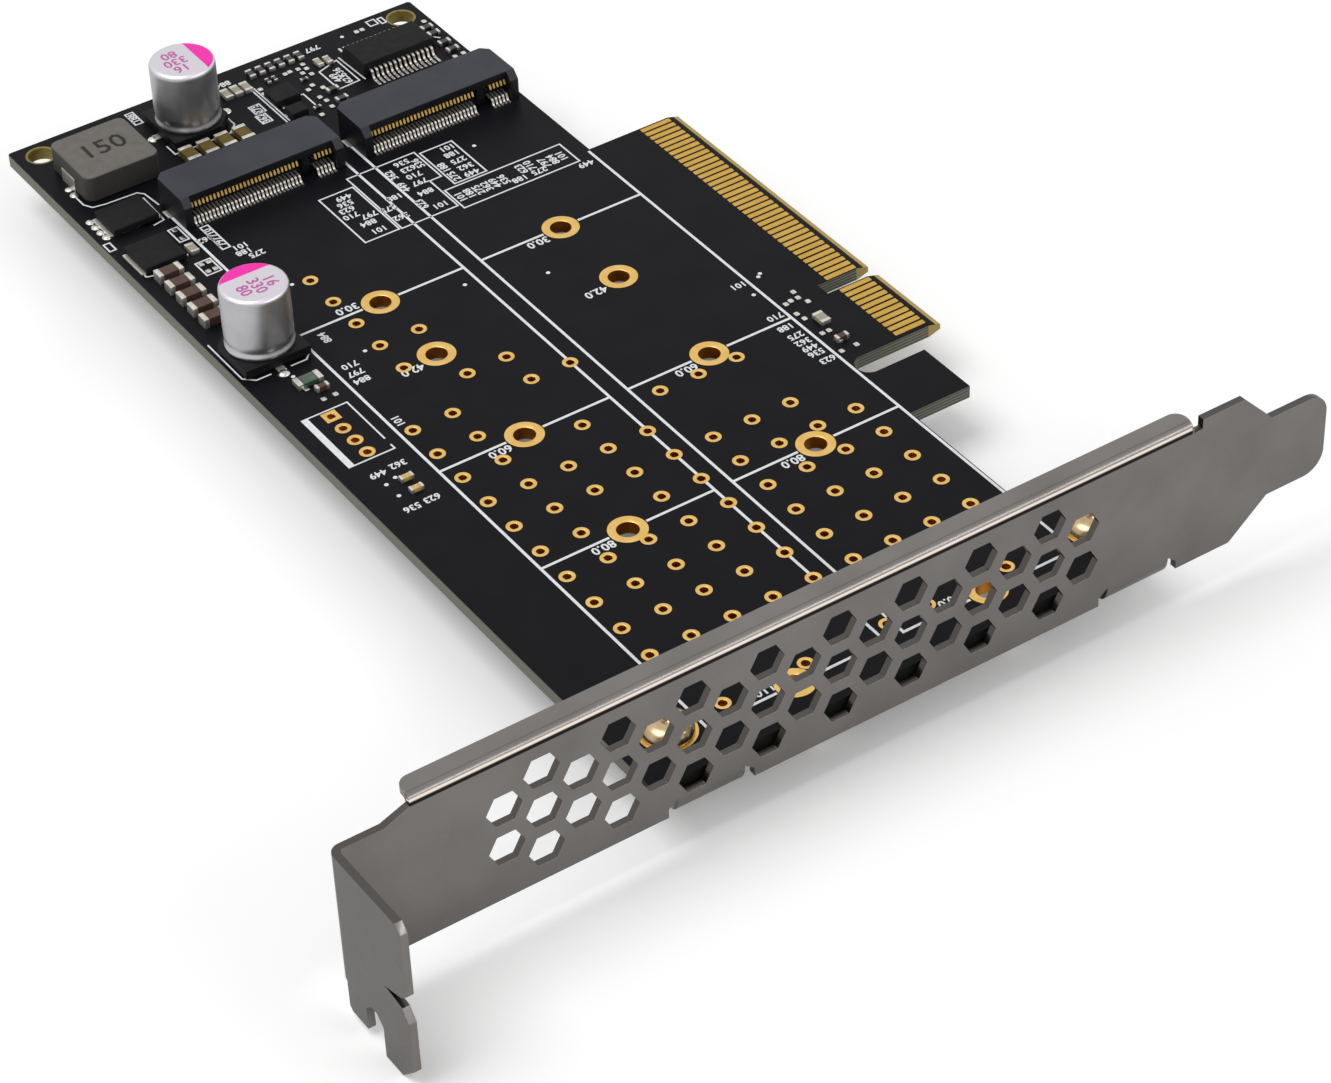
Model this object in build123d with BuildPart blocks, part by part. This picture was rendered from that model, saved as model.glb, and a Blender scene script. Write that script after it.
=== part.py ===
from build123d import *
import os
from math import radians, cos

os.makedirs("parts", exist_ok=True)

# Dual module adapter card with its slot bracket.
# Origin: middle of the two 80 mm standoff holes, on the component face of the board.
# +X points to the gold edge contacts, +Y to the rear of the board, +Z away from the board.

# Sizes in mm

# Board
BOARD_T = 1.57
BOARD_LEFT = -32.3
BOARD_RIGHT = 23.5
BOARD_REAR = 102.0
FRONT_GAP = 0.05
CORNER_C = 0.25

# Edge connector tongue
KEY_Y = 22.2
KEY_W = 1.9
CONTACT_PITCH = 1.0
CONTACT_W = 0.7
CONTACT_L = 4.1
CONTACT_T = 0.04
CONTACTS_SHORT = 11
CONTACTS_LONG = 38
KEY_GAP = 3.0
TONGUE_TIP = 36.1
TONGUE_MARGIN = 0.25
SHORT_MARGIN = 0.675
BEVEL_L = 1.5
BEVEL_D = 0.45
KEY_DEPTH = 7.0

# Guide leg and front foot of the board
GUIDE_SLOT_W = 3.2
LEG_W = 8.2
LEG_END = 31.5
FOOT_END = 30.6
FOOT_REAR = -23.5

# Module lanes
LANE_GAP = 2.8
STANDOFF_ROWS = (0.0, 20.0, 38.0, 50.0)
STANDOFF_HOLE_R = 1.3
RING_OUT_R = 2.2
RING_T = 0.05
RING_SIDES = 12
REAR_HOLES = ((-29.2, 99.35), (20.7, 99.35))
REAR_HOLE_R = 1.6

# Ground vias
VIA_PITCH = 5.08
VIA_R = 0.66
VIA_SIDES = 4
VIA_X0 = -21.41
VIA_Y0 = -17.87
VIA_ROWS = (
    (0, (0, 1, 2, 3, 4, 5, 6, 7, 8)), (1, (0, 1, 2, 3, 4, 5, 6, 7, 8)),
    (2, (0, 1, 2, 3, 4, 5, 6, 7, 8)), (3, (0, 1, 2, 3, 4, 5, 6, 7, 8)),
    (4, (0, 1, 3, 4, 5, 6, 7, 8)), (5, (0, 1, 2, 3, 4, 5, 6, 7)),
    (6, (0, 1, 2, 3, 4)), (7, (0, 1, 3, 5, 6, 7)), (8, (0, 1)),
    (9, (0, 1, 3, 4)), (10, (2, 3)), (11, (1,)), (12, (1, 2)),
    (13, (1,)), (14, (1,)), (15, (1,)),
)
HEADER_PITCH = 2.54
HEADER_PINS = 4
HEADER_X = -27.3
HEADER_Y = 31.4

# Bracket, folded from one sheet
SHEET_T = 0.86
BEND_IN = 0.4
FACE_Y = -36.0
PLATE_LOW = -3.1
PLATE_H = 18.42
PLATE_LEFT = -68.3
BRACKET_L = 120.02
STEP_H = 2.4
STEP_X = 5.7
SHOULDER_X = 40.2
TONGUE_SLOPE = 3.9
TONGUE_H = 10.19
TONGUE_R = 2.6
FLANGE_LEFT = -59.7
FLANGE_RIGHT = 33.6
FLANGE_DEPTH = 2.75
FLANGE_R = 1.35
TAB_DEPTH = 12.0
TAB_LOW = -7.9
TAB_CORNER = 0.9
WEDGE_Z = 2.4
WEDGE_H = 3.6
WEDGE_W = 4.0
PRONG_W = 5.2
PRONG_SLOPE = 2.2
PRONG_STEP = 1.0
NOTCH_W = 3.1
NOTCH_DEPTH = 4.8
VENT_AF = 3.95
VENT_PITCH = 5.0
VENT_COLUMNS = 17
VENT_X = -15.15
VENT_Z = 5.75
EAR_W = 8.0
EAR_DEPTH = 12.0
RELIEF_W = 1.1

# Bracket screws through the board into the ears
SCREW_R = 1.5
SCREW_GAP = 0.1
SCREW_LEFT = -26.4
SCREW_RIGHT = 27.0
SCREW_Y = -28.4
SCREW_HEAD_R = 2.75
SCREW_HEAD_H = 1.7
SCREW_L = 3.6
SCREW_SIDES = 10
SCREW_TAPER = 20

# Module sockets
LONG_RUN_COUNT = 29
KEY_RUN_COUNT = 4
SHORT_RUN_COUNT = 5
LEAD_PITCH = 0.5
LEAD_W = 0.22
LEAD_T = 0.15
LEAD_REACH = 3.5
LEAD_ROOT = 0.8
TIP_SET = 0.4
TIP_DROP = 0.5
FOOT_OUT = 1.1
FOOT_L = 0.45
SOCKET_H = 3.8
SOCKET_FRONT = 76.3
SOCKET_D = 6.3
ROOF_T = 1.0
FLOOR_T = 1.0
FLOOR_SET = 0.9
BACK_WALL_T = 1.2
CHEEK_T = 1.15
CHEEK_OUT = 0.9
CHEEK_GAP = 0.19
POST_SET = 0.3
HOLD_DOWN_W = 0.6
HOLD_DOWN_D = 1.6
HOLD_DOWN_T = 0.2

# Polymer capacitors: centre, and the direction of the marked side in degrees
CAN_R = 4.0
CAN_TOP = 9.3
CAN_LOW = 1.3
CAN_LIP = 0.35
BASE_W = 8.3
BASE_LOW = 0.2
BASE_CORNER = 2.0
CAP_LEAD_W = 1.0
CAP_LEAD_OUT = 4.9
CAP_LEAD_L = 3.9
CAPACITOR_1 = (-11.9, 94.3, 0)
CAPACITOR_2 = (-27.4, 50.3, 90)

# Moulded inductor
INDUCTOR = (-24.5, 91.6)
INDUCTOR_W = 9.8
INDUCTOR_D = 9.5
INDUCTOR_H = 3.4
INDUCTOR_R = 0.9
CLIP_W = 3.2
CLIP_T = 0.15
CLIP_H = 1.8
CLIP_UNDER = 2.0

# Power transistors: centre, then size along X and Y
TRANSISTORS = ((-27.3, 81.5, 5.9, 4.9), (-28.2, 72.9, 5.3, 5.3))
TRANSISTOR_H = 1.1
TRANSISTOR_BEVEL = 0.12
TAB_T = 0.25
TAB_OUT = 0.5
TAB_SHARE = 0.6
TAB_SET = 0.3
PIN_OUT = 0.45
PIN_IN = 0.4
PIN_W = 0.45
PIN_PITCH = 1.27
PINS = 4

# Interface chip with gull-wing leads
CHIP = (15.2, 93.0)
CHIP_L = 10.2
CHIP_W = 5.3
CHIP_LOW = 0.15
CHIP_H = 1.85
CHIP_DRAFT = 0.45
CHIP_SHOULDER = 0.47
CHIP_PITCH = 0.65
CHIP_PINS = 14
CHIP_PIN_W = 0.28
CHIP_SPAN = 7.9
CHIP_FOOT = 0.5

# Small chips without leads: centre, then size
REGULATOR = (0.0, 92.7, 3.4, 3.1, 0.9)
CHOKE = (-0.5, 88.4, 2.2, 2.0, 1.1)
END_T = 0.03
END_SHARE = 0.2
FLAT_BEVEL = 0.08

# Tolerance when an edge is picked by its position
TOUCH = 0.1

# Chips with an end cap at each end: x, y, length, width, height, and 1 where it lies along Y
BROWN_CHIPS = tuple((-28.9, 68.5 - 2.6 * i, 3.2, 1.6, 1.2, 0) for i in range(5))
TAN_CHIPS = tuple((-15.3 + 2.43 * i, 88.0, 3.0, 1.7, 1.0, 1) for i in range(4))
SMALL_CHIPS = (
    tuple((-0.7 + 1.35 * i, 99.2, 1.6, 0.8, 0.5, 1) for i in range(6))
    + tuple((-5.3 + 1.35 * i, 97.0, 2.0, 1.05, 0.55, 1) for i in range(3))
    + ((7.2, 96.4, 1.6, 0.8, 0.5, 1), (8.4, 96.2, 1.6, 0.8, 0.5, 1), (0.3, 96.7, 1.0, 0.5, 0.35, 1),
       (1.2, 96.7, 1.0, 0.5, 0.35, 1), (4.0, 94.4, 1.0, 0.5, 0.35, 0), (5.6, 90.4, 1.6, 0.8, 0.5, 0),
       (5.5, 88.0, 1.6, 0.8, 0.5, 0), (2.2, 88.2, 1.0, 0.5, 0.35, 0), (-24.3, 71.5, 1.8, 1.1, 0.6, 1),
       (21.9, 95.2, 1.6, 0.8, 0.5, 0), (21.9, 93.6, 1.6, 0.8, 0.5, 0), (21.9, 91.1, 1.6, 0.8, 0.5, 0),
       (21.9, 89.2, 1.6, 0.8, 0.5, 0), (25.6, 17.6, 2.0, 1.25, 0.6, 1), (24.9, 13.4, 1.0, 0.5, 0.35, 1))
)
FUSE = ((-26.2, 42.0, 3.2, 1.6, 0.7, 0),)
LEDS = ((-26.4, 21.0, 1.6, 0.8, 0.6, 0), (-26.5, 18.8, 1.6, 0.8, 0.6, 0))

BOARD_LOW = -BOARD_T
PLATE_TOP = PLATE_LOW + PLATE_H
PLATE_RIGHT = PLATE_LEFT + BRACKET_L
BEND_OUT = BEND_IN + SHEET_T
BACK_Y = FACE_Y + SHEET_T
BOARD_FRONT = FACE_Y + BEND_OUT + FRONT_GAP
LONG_END = KEY_Y + KEY_GAP / 2 + (CONTACTS_LONG - 1) * CONTACT_PITCH + CONTACT_W / 2 + TONGUE_MARGIN
SHORT_END = KEY_Y - KEY_GAP / 2 - (CONTACTS_SHORT - 1) * CONTACT_PITCH - CONTACT_W / 2 - SHORT_MARGIN
SLOT_Y = SHORT_END - GUIDE_SLOT_W / 2
LEG_FRONT = SLOT_Y - GUIDE_SLOT_W / 2 - LEG_W
CONTACT_X = TONGUE_TIP - BEVEL_L - CONTACT_L / 2
CONTACT_RUN = (LONG_RUN_COUNT + KEY_RUN_COUNT + SHORT_RUN_COUNT - 1) * LEAD_PITCH
SOCKET_W = CONTACT_RUN + LEAD_W + 2 * (CHEEK_GAP + CHEEK_T)
SOCKET_REAR = SOCKET_FRONT + SOCKET_D
SOCKET_X = (-(SOCKET_W + LANE_GAP) / 2, (SOCKET_W + LANE_GAP) / 2)
LEAD_END = SOCKET_FRONT + LEAD_REACH
FLOOR_FRONT = SOCKET_FRONT + FLOOR_SET


def save(part, name):
    """Labels a finished part and writes it to its file."""
    part.label = name
    export_step(part, "parts/" + name + ".step")


def upright_edges(builder, axis, value):
    """Edges square to the sheet or board that lie at one position along the given axis."""
    upright = Axis.Z if axis == Axis.Y else Axis.Y
    return builder.edges().filter_by(upright).filter_by_position(axis, value - TOUCH, value + TOUCH)


def contact_spots():
    """Centres of the edge contacts, short run first."""
    short = [KEY_Y - KEY_GAP / 2 - i * CONTACT_PITCH for i in range(CONTACTS_SHORT)]
    long = [KEY_Y + KEY_GAP / 2 + i * CONTACT_PITCH for i in range(CONTACTS_LONG)]
    return [(CONTACT_X, y) for y in short + long]


def lead_spots(center_x):
    """X positions of one row of socket contacts, split by the key."""
    key_end = LONG_RUN_COUNT + KEY_RUN_COUNT
    return [center_x - CONTACT_RUN / 2 + i * LEAD_PITCH for i in range(key_end + SHORT_RUN_COUNT)
            if i < LONG_RUN_COUNT or i >= key_end]


# The board

board_outline = [
    (BOARD_LEFT, BOARD_FRONT), (FOOT_END, BOARD_FRONT), (FOOT_END, FOOT_REAR),
    (BOARD_RIGHT, FOOT_REAR), (BOARD_RIGHT, LEG_FRONT), (LEG_END, LEG_FRONT),
    (LEG_END, SLOT_Y), (TONGUE_TIP, SLOT_Y), (TONGUE_TIP, LONG_END),
    (BOARD_RIGHT, LONG_END), (BOARD_RIGHT, BOARD_REAR), (BOARD_LEFT, BOARD_REAR),
]

with BuildPart() as pcb:
    with BuildSketch(Plane.XY.offset(BOARD_LOW)):
        with BuildLine():
            Polyline(board_outline, close=True)
        make_face()
        # rounded guide slot beside the leg, and the connector key
        with Locations((BOARD_RIGHT + GUIDE_SLOT_W / 2, SLOT_Y)):
            Circle(GUIDE_SLOT_W / 2, mode=Mode.SUBTRACT)
        with Locations((BOARD_RIGHT + GUIDE_SLOT_W / 2, SLOT_Y)):
            Rectangle(TONGUE_TIP, GUIDE_SLOT_W, align=(Align.MIN, Align.CENTER), mode=Mode.SUBTRACT)
        with Locations((TONGUE_TIP, KEY_Y)):
            Rectangle(KEY_DEPTH * 2, KEY_W, mode=Mode.SUBTRACT)
        with Locations(*[(x, y) for x in SOCKET_X for y in STANDOFF_ROWS]):
            Circle(STANDOFF_HOLE_R, mode=Mode.SUBTRACT)
        with Locations(*REAR_HOLES):
            Circle(REAR_HOLE_R, mode=Mode.SUBTRACT)
        with Locations((SCREW_LEFT, SCREW_Y), (SCREW_RIGHT, SCREW_Y)):
            RegularPolygon(SCREW_R + SCREW_GAP, SCREW_SIDES, major_radius=False, mode=Mode.SUBTRACT)
        with Locations((HEADER_X, HEADER_Y)):
            with GridLocations(HEADER_PITCH, HEADER_PITCH, 1, HEADER_PINS):
                RegularPolygon(VIA_R, VIA_SIDES, mode=Mode.SUBTRACT)
        with Locations(*[(VIA_X0 + i * VIA_PITCH, VIA_Y0 + j * VIA_PITCH)
                         for j, row in VIA_ROWS for i in row]):
            RegularPolygon(VIA_R, VIA_SIDES, mode=Mode.SUBTRACT)
    extrude(amount=BOARD_T)
    chamfer(upright_edges(pcb, Axis.Y, BOARD_REAR), CORNER_C)
    # bevelled lead-in of the edge connector, on both faces
    for top, low in ((0, -BEVEL_D), (BOARD_LOW, BOARD_LOW + BEVEL_D)):
        with BuildSketch(Plane.XZ.offset(-SLOT_Y)):
            with BuildLine():
                Polyline((TONGUE_TIP - BEVEL_L, top), (TONGUE_TIP, top), (TONGUE_TIP, low), close=True)
            make_face()
        extrude(amount=-(LONG_END - SLOT_Y), mode=Mode.SUBTRACT)
save(pcb.part, "pcb")

with BuildPart() as edge_contacts_top:
    with BuildSketch(Plane.XY):
        with Locations(*contact_spots()):
            Rectangle(CONTACT_L, CONTACT_W)
    extrude(amount=CONTACT_T)
save(edge_contacts_top.part, "edge_contacts_top")

with BuildPart() as edge_contacts_bottom:
    with BuildSketch(Plane.XY.offset(BOARD_LOW)):
        with Locations(*contact_spots()):
            Rectangle(CONTACT_L, CONTACT_W)
    extrude(amount=-CONTACT_T)
save(edge_contacts_bottom.part, "edge_contacts_bottom")

with BuildPart() as standoff_rings:
    with BuildSketch(Plane.XY):
        with Locations(*[(x, y) for x in SOCKET_X for y in STANDOFF_ROWS]):
            RegularPolygon(RING_OUT_R, RING_SIDES)
            RegularPolygon(STANDOFF_HOLE_R, RING_SIDES, major_radius=False, mode=Mode.SUBTRACT)
    extrude(amount=RING_T)
save(standoff_rings.part, "standoff_rings")

# The bracket

mid_z = PLATE_LOW + PLATE_H / 2
step_z = PLATE_TOP - STEP_H
ear_spots = (SCREW_LEFT, SCREW_RIGHT)
ear_low = BOARD_LOW - SHEET_T
tongue_top = mid_z + TONGUE_H / 2
tongue_low = mid_z - TONGUE_H / 2
tab_far = FACE_Y - TAB_DEPTH
tab_near = FACE_Y - BEND_IN
notch_y = tab_far + PRONG_W + NOTCH_W / 2
notch_top = TAB_LOW + NOTCH_DEPTH

with BuildPart() as bracket:
    # flat plate with its stepped end, tongue and flange side
    with BuildSketch(Plane.XZ.offset(-BACK_Y)) as plate:
        with BuildLine():
            Polyline(
                (PLATE_LEFT + BEND_OUT, PLATE_LOW), (SHOULDER_X - TONGUE_SLOPE / 4, PLATE_LOW),
                (SHOULDER_X + TONGUE_SLOPE, tongue_low), (PLATE_RIGHT, tongue_low),
                (PLATE_RIGHT, tongue_top), (SHOULDER_X + TONGUE_SLOPE, tongue_top),
                (SHOULDER_X, PLATE_TOP), (FLANGE_RIGHT + RELIEF_W, PLATE_TOP),
                (FLANGE_RIGHT + RELIEF_W, PLATE_TOP - BEND_OUT), (FLANGE_LEFT, PLATE_TOP - BEND_OUT),
                (PLATE_LEFT + STEP_X, step_z), (PLATE_LEFT + BEND_OUT, step_z), close=True)
        make_face()
        for x in ear_spots:
            with Locations((x, PLATE_LOW)):
                Rectangle(EAR_W + 2 * RELIEF_W, 2 * (ear_low - PLATE_LOW + BEND_OUT), mode=Mode.SUBTRACT)
        with Locations(*[(VENT_X + (i - (VENT_COLUMNS - 1) / 2) * VENT_PITCH * cos(radians(30)),
                          VENT_Z + (j - (1 if i % 2 else 0.5)) * VENT_PITCH)
                         for i in range(VENT_COLUMNS) for j in range(3 if i % 2 else 2)]):
            RegularPolygon(VENT_AF / 2, 6, major_radius=False, mode=Mode.SUBTRACT)
    extrude(amount=SHEET_T)
    fillet(upright_edges(bracket, Axis.X, PLATE_RIGHT), TONGUE_R)
    # bend and flange along the top edge
    with BuildSketch(Plane.YZ.offset(FLANGE_LEFT)):
        with Locations((FACE_Y + BEND_OUT, PLATE_TOP - BEND_OUT)):
            Circle(BEND_OUT)
            Circle(BEND_IN, mode=Mode.SUBTRACT)
            Rectangle(2 * BEND_OUT, BEND_OUT, align=(Align.CENTER, Align.MAX), mode=Mode.SUBTRACT)
            Rectangle(BEND_OUT, 2 * BEND_OUT, align=(Align.MIN, Align.CENTER), mode=Mode.SUBTRACT)
        with Locations((FACE_Y + BEND_OUT, PLATE_TOP)):
            Rectangle(FLANGE_DEPTH - BEND_OUT, SHEET_T, align=(Align.MIN, Align.MAX))
    extrude(amount=FLANGE_RIGHT - FLANGE_LEFT)
    fillet(upright_edges(bracket, Axis.Y, FACE_Y + FLANGE_DEPTH), FLANGE_R)
    # bend to the screw tab
    with BuildSketch(Plane.XY.offset(PLATE_LOW)):
        with Locations((PLATE_LEFT + BEND_OUT, FACE_Y - BEND_IN)):
            Circle(BEND_OUT)
            Circle(BEND_IN, mode=Mode.SUBTRACT)
            Rectangle(2 * BEND_OUT, BEND_OUT, align=(Align.CENTER, Align.MAX), mode=Mode.SUBTRACT)
            Rectangle(BEND_OUT, 2 * BEND_OUT, align=(Align.MIN, Align.CENTER), mode=Mode.SUBTRACT)
    extrude(amount=step_z - PLATE_LOW)
    # screw tab with its forked lower edge
    with BuildSketch(Plane.YZ.offset(PLATE_LEFT)):
        with BuildLine():
            Polyline(
                (tab_near, step_z), (tab_far + TAB_CORNER, step_z), (tab_far, step_z - TAB_CORNER),
                (tab_far, WEDGE_Z + WEDGE_H / 2), (tab_far + WEDGE_W / 4, WEDGE_Z + WEDGE_H / 4),
                (tab_far + WEDGE_W, WEDGE_Z), (tab_far + WEDGE_W / 4, WEDGE_Z - WEDGE_H / 8),
                (tab_far, WEDGE_Z - WEDGE_H / 2), (tab_far, TAB_LOW + PRONG_SLOPE),
                (tab_far + PRONG_SLOPE, TAB_LOW), (tab_far + PRONG_W, TAB_LOW),
                (tab_far + PRONG_W, notch_top - NOTCH_W / 3), (notch_y - NOTCH_W / 6, notch_top),
                (notch_y + NOTCH_W / 6, notch_top), (notch_y + NOTCH_W / 2, notch_top - NOTCH_W / 3),
                (notch_y + NOTCH_W / 2, TAB_LOW + PRONG_STEP),
                (tab_near - PRONG_STEP / 2, TAB_LOW + PRONG_STEP),
                (tab_near, TAB_LOW + PRONG_STEP * 1.5), close=True)
        make_face()
    extrude(amount=SHEET_T)
    # ears under the board, each folded out between two relief cuts
    for x in ear_spots:
        with BuildSketch(Plane.YZ.offset(x - EAR_W / 2)):
            with Locations((FACE_Y + BEND_OUT, ear_low + BEND_OUT)):
                Circle(BEND_OUT)
                Circle(BEND_IN, mode=Mode.SUBTRACT)
                Rectangle(2 * BEND_OUT, BEND_OUT, align=(Align.CENTER, Align.MIN), mode=Mode.SUBTRACT)
                Rectangle(BEND_OUT, 2 * BEND_OUT, align=(Align.MIN, Align.CENTER), mode=Mode.SUBTRACT)
            with Locations((FACE_Y + BEND_OUT, ear_low)):
                Rectangle(EAR_DEPTH - BEND_OUT, SHEET_T, align=(Align.MIN, Align.MIN))
        extrude(amount=EAR_W)
    with BuildSketch(Plane.XY.offset(ear_low)):
        with Locations(*[(x, SCREW_Y) for x in ear_spots]):
            RegularPolygon(SCREW_R, SCREW_SIDES)
    extrude(amount=SHEET_T, mode=Mode.SUBTRACT)
save(bracket.part, "bracket")

with BuildPart() as bracket_screws:
    with BuildSketch(Plane.XY.offset(SCREW_HEAD_H - SCREW_L)):
        with Locations(*[(x, SCREW_Y) for x in ear_spots]):
            RegularPolygon(SCREW_R, SCREW_SIDES)
    extrude(amount=SCREW_L - SCREW_HEAD_H)
    with BuildSketch(Plane.XY):
        with Locations(*[(x, SCREW_Y) for x in ear_spots]):
            RegularPolygon(SCREW_HEAD_R, SCREW_SIDES)
    extrude(amount=SCREW_HEAD_H, taper=SCREW_TAPER)
save(bracket_screws.part, "bracket_screws")

# Module sockets


def socket_housing(center_x, name):
    """Moulded housing: floor, rear wall, roof, two end cheeks and the key post."""
    inner_w = SOCKET_W - 2 * CHEEK_T
    post_x = center_x + (LONG_RUN_COUNT - SHORT_RUN_COUNT) / 2 * LEAD_PITCH
    post_d = SOCKET_REAR - CHEEK_T - SOCKET_FRONT - POST_SET
    with BuildPart() as housing:
        # C-shaped section between the cheeks
        with BuildSketch(Plane.YZ.offset(center_x - inner_w / 2)):
            with BuildLine():
                Polyline(
                    (FLOOR_FRONT, 0), (SOCKET_REAR, 0), (SOCKET_REAR, SOCKET_H), (SOCKET_FRONT, SOCKET_H),
                    (SOCKET_FRONT, SOCKET_H - ROOF_T), (SOCKET_REAR - BACK_WALL_T, SOCKET_H - ROOF_T),
                    (SOCKET_REAR - BACK_WALL_T, FLOOR_T), (FLOOR_FRONT, FLOOR_T), close=True)
            make_face()
        extrude(amount=inner_w)
        # cheeks
        for x in (center_x - SOCKET_W / 2, center_x + SOCKET_W / 2 - CHEEK_T):
            with BuildSketch(Plane.YZ.offset(x)):
                with BuildLine():
                    Polyline(
                        (SOCKET_FRONT - CHEEK_OUT, 0), (SOCKET_REAR, 0), (SOCKET_REAR, SOCKET_H),
                        (SOCKET_FRONT, SOCKET_H), (SOCKET_FRONT - CHEEK_OUT, SOCKET_H - ROOF_T), close=True)
                make_face()
            extrude(amount=CHEEK_T)
        # key post between the two contact runs
        with BuildSketch(Plane.XY.offset(FLOOR_T)):
            with Locations((post_x, SOCKET_REAR - CHEEK_T)):
                Rectangle(LEAD_PITCH * 2, post_d, align=(Align.CENTER, Align.MAX))
        extrude(amount=SOCKET_H - ROOF_T - FLOOR_T)
        chamfer(upright_edges(housing, Axis.Y, SOCKET_REAR), CHEEK_T * 0.8)
    save(housing.part, name)


def socket_leads(center_x, profile, name):
    """One row of contacts, each the given side profile one lead wide."""
    with BuildPart() as leads:
        with BuildPart(mode=Mode.PRIVATE) as one_lead:
            with BuildSketch(Plane.YZ.offset(-LEAD_W / 2)):
                with BuildLine():
                    Polyline(*profile, close=True)
                make_face()
            extrude(amount=LEAD_W)
        with Locations(*[(x, 0, 0) for x in lead_spots(center_x)]):
            add(one_lead.part)
    save(leads.part, name)


roof_low = SOCKET_H - ROOF_T
foot_y = SOCKET_FRONT - FOOT_OUT
tip_y = SOCKET_FRONT + TIP_SET
tip_z = roof_low - TIP_DROP
bend_y = FLOOR_FRONT - LEAD_T * 2
upper_profile = [
    (LEAD_END, roof_low), (LEAD_END - LEAD_ROOT, roof_low), (tip_y, tip_z + LEAD_T), (tip_y, tip_z),
]
lower_profile = [
    (foot_y, 0), (foot_y + FOOT_L, 0), (bend_y, FLOOR_T), (LEAD_END, FLOOR_T),
    (bend_y, FLOOR_T + 2 * LEAD_T),
]
for side, center in zip(("left", "right"), SOCKET_X):
    socket_housing(center, "socket_" + side + "_housing")
    socket_leads(center, upper_profile, "socket_" + side + "_upper_contacts")
    socket_leads(center, lower_profile, "socket_" + side + "_lower_contacts")

with BuildPart() as socket_hold_downs:
    with BuildSketch(Plane.XY):
        with Locations(*[(center + s * (SOCKET_W + HOLD_DOWN_W) / 2, (SOCKET_FRONT + SOCKET_REAR) / 2)
                         for center in SOCKET_X for s in (-1, 1)]):
            Rectangle(HOLD_DOWN_W, HOLD_DOWN_D)
    extrude(amount=HOLD_DOWN_T)
save(socket_hold_downs.part, "socket_hold_downs")

# Capacitors


def capacitor(spot, name):
    """Aluminium can, its plastic base and two flat leads."""
    x, y, turn = spot
    with BuildPart() as can:
        with BuildSketch(Plane.XZ.offset(-y)):
            with BuildLine():
                Polyline(
                    (x, CAN_LOW), (x + CAN_R, CAN_LOW), (x + CAN_R, CAN_TOP - CAN_LIP),
                    (x + CAN_R - CAN_LIP, CAN_TOP), (x, CAN_TOP), close=True)
            make_face()
        revolve(axis=Axis((x, y, 0), (0, 0, 1)))
    save(can.part, name + "_can")
    with BuildPart() as base:
        with BuildSketch(Plane.XY.offset(BASE_LOW)):
            with Locations(Location((x, y), turn)):
                Rectangle(BASE_W, BASE_W)
        extrude(amount=CAN_LOW - BASE_LOW)
        marked = base.edges().filter_by(Axis.Z).sort_by(Axis.X if turn == 0 else Axis.Y)[-2:]
        chamfer(marked, BASE_CORNER)
    save(base.part, name + "_base")
    with BuildPart() as leads:
        with BuildSketch(Plane.XY):
            with Locations(Location((x, y), turn)):
                with Locations((-CAP_LEAD_OUT, 0)):
                    Rectangle(CAP_LEAD_L, CAP_LEAD_W, align=(Align.MIN, Align.CENTER))
                with Locations((CAP_LEAD_OUT, 0)):
                    Rectangle(CAP_LEAD_L, CAP_LEAD_W, align=(Align.MAX, Align.CENTER))
        extrude(amount=BASE_LOW)
    save(leads.part, name + "_leads")


capacitor(CAPACITOR_1, "capacitor_1")
capacitor(CAPACITOR_2, "capacitor_2")

# Inductor

with BuildPart() as inductor_body:
    with BuildSketch(Plane.XY.offset(CLIP_T)):
        with Locations(INDUCTOR):
            Rectangle(INDUCTOR_W, INDUCTOR_D)
    extrude(amount=INDUCTOR_H - CLIP_T)
    chamfer(inductor_body.edges().filter_by(Axis.Z), INDUCTOR_R)
    chamfer(inductor_body.edges().group_by(Axis.Z)[-1], INDUCTOR_R / 4)
save(inductor_body.part, "inductor_body")

with BuildPart() as inductor_clips:
    for s in (-1, 1):
        face = INDUCTOR[0] + s * INDUCTOR_W / 2
        with BuildSketch(Plane.XZ.offset(-(INDUCTOR[1] - CLIP_W / 2))):
            with BuildLine():
                Polyline(
                    (face + s * CLIP_T, 0), (face - s * CLIP_UNDER, 0), (face - s * CLIP_UNDER, CLIP_T),
                    (face, CLIP_T), (face, CLIP_H), (face + s * CLIP_T, CLIP_H), close=True)
            make_face()
        extrude(amount=-CLIP_W)
save(inductor_clips.part, "inductor_clips")

# Power transistors

with BuildPart() as transistor_bodies:
    with BuildSketch(Plane.XY.offset(TAB_T)):
        for x, y, w, d in TRANSISTORS:
            with Locations((x, y)):
                Rectangle(w, d)
    extrude(amount=TRANSISTOR_H - TAB_T)
    chamfer(transistor_bodies.edges().group_by(Axis.Z)[-1], TRANSISTOR_BEVEL)
save(transistor_bodies.part, "transistor_bodies")

with BuildPart() as transistor_leads:
    with BuildSketch(Plane.XY):
        for x, y, w, d in TRANSISTORS:
            with Locations((x - w / 2 - TAB_OUT, y)):
                Rectangle(w * TAB_SHARE + TAB_OUT, d - 2 * TAB_SET, align=(Align.MIN, Align.CENTER))
            with Locations((x + w / 2 + (PIN_OUT - PIN_IN) / 2, y)):
                with GridLocations(1, PIN_PITCH, 1, PINS):
                    Rectangle(PIN_OUT + PIN_IN, PIN_W)
    extrude(amount=TAB_T)
save(transistor_leads.part, "transistor_leads")

# Interface chip

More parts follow.
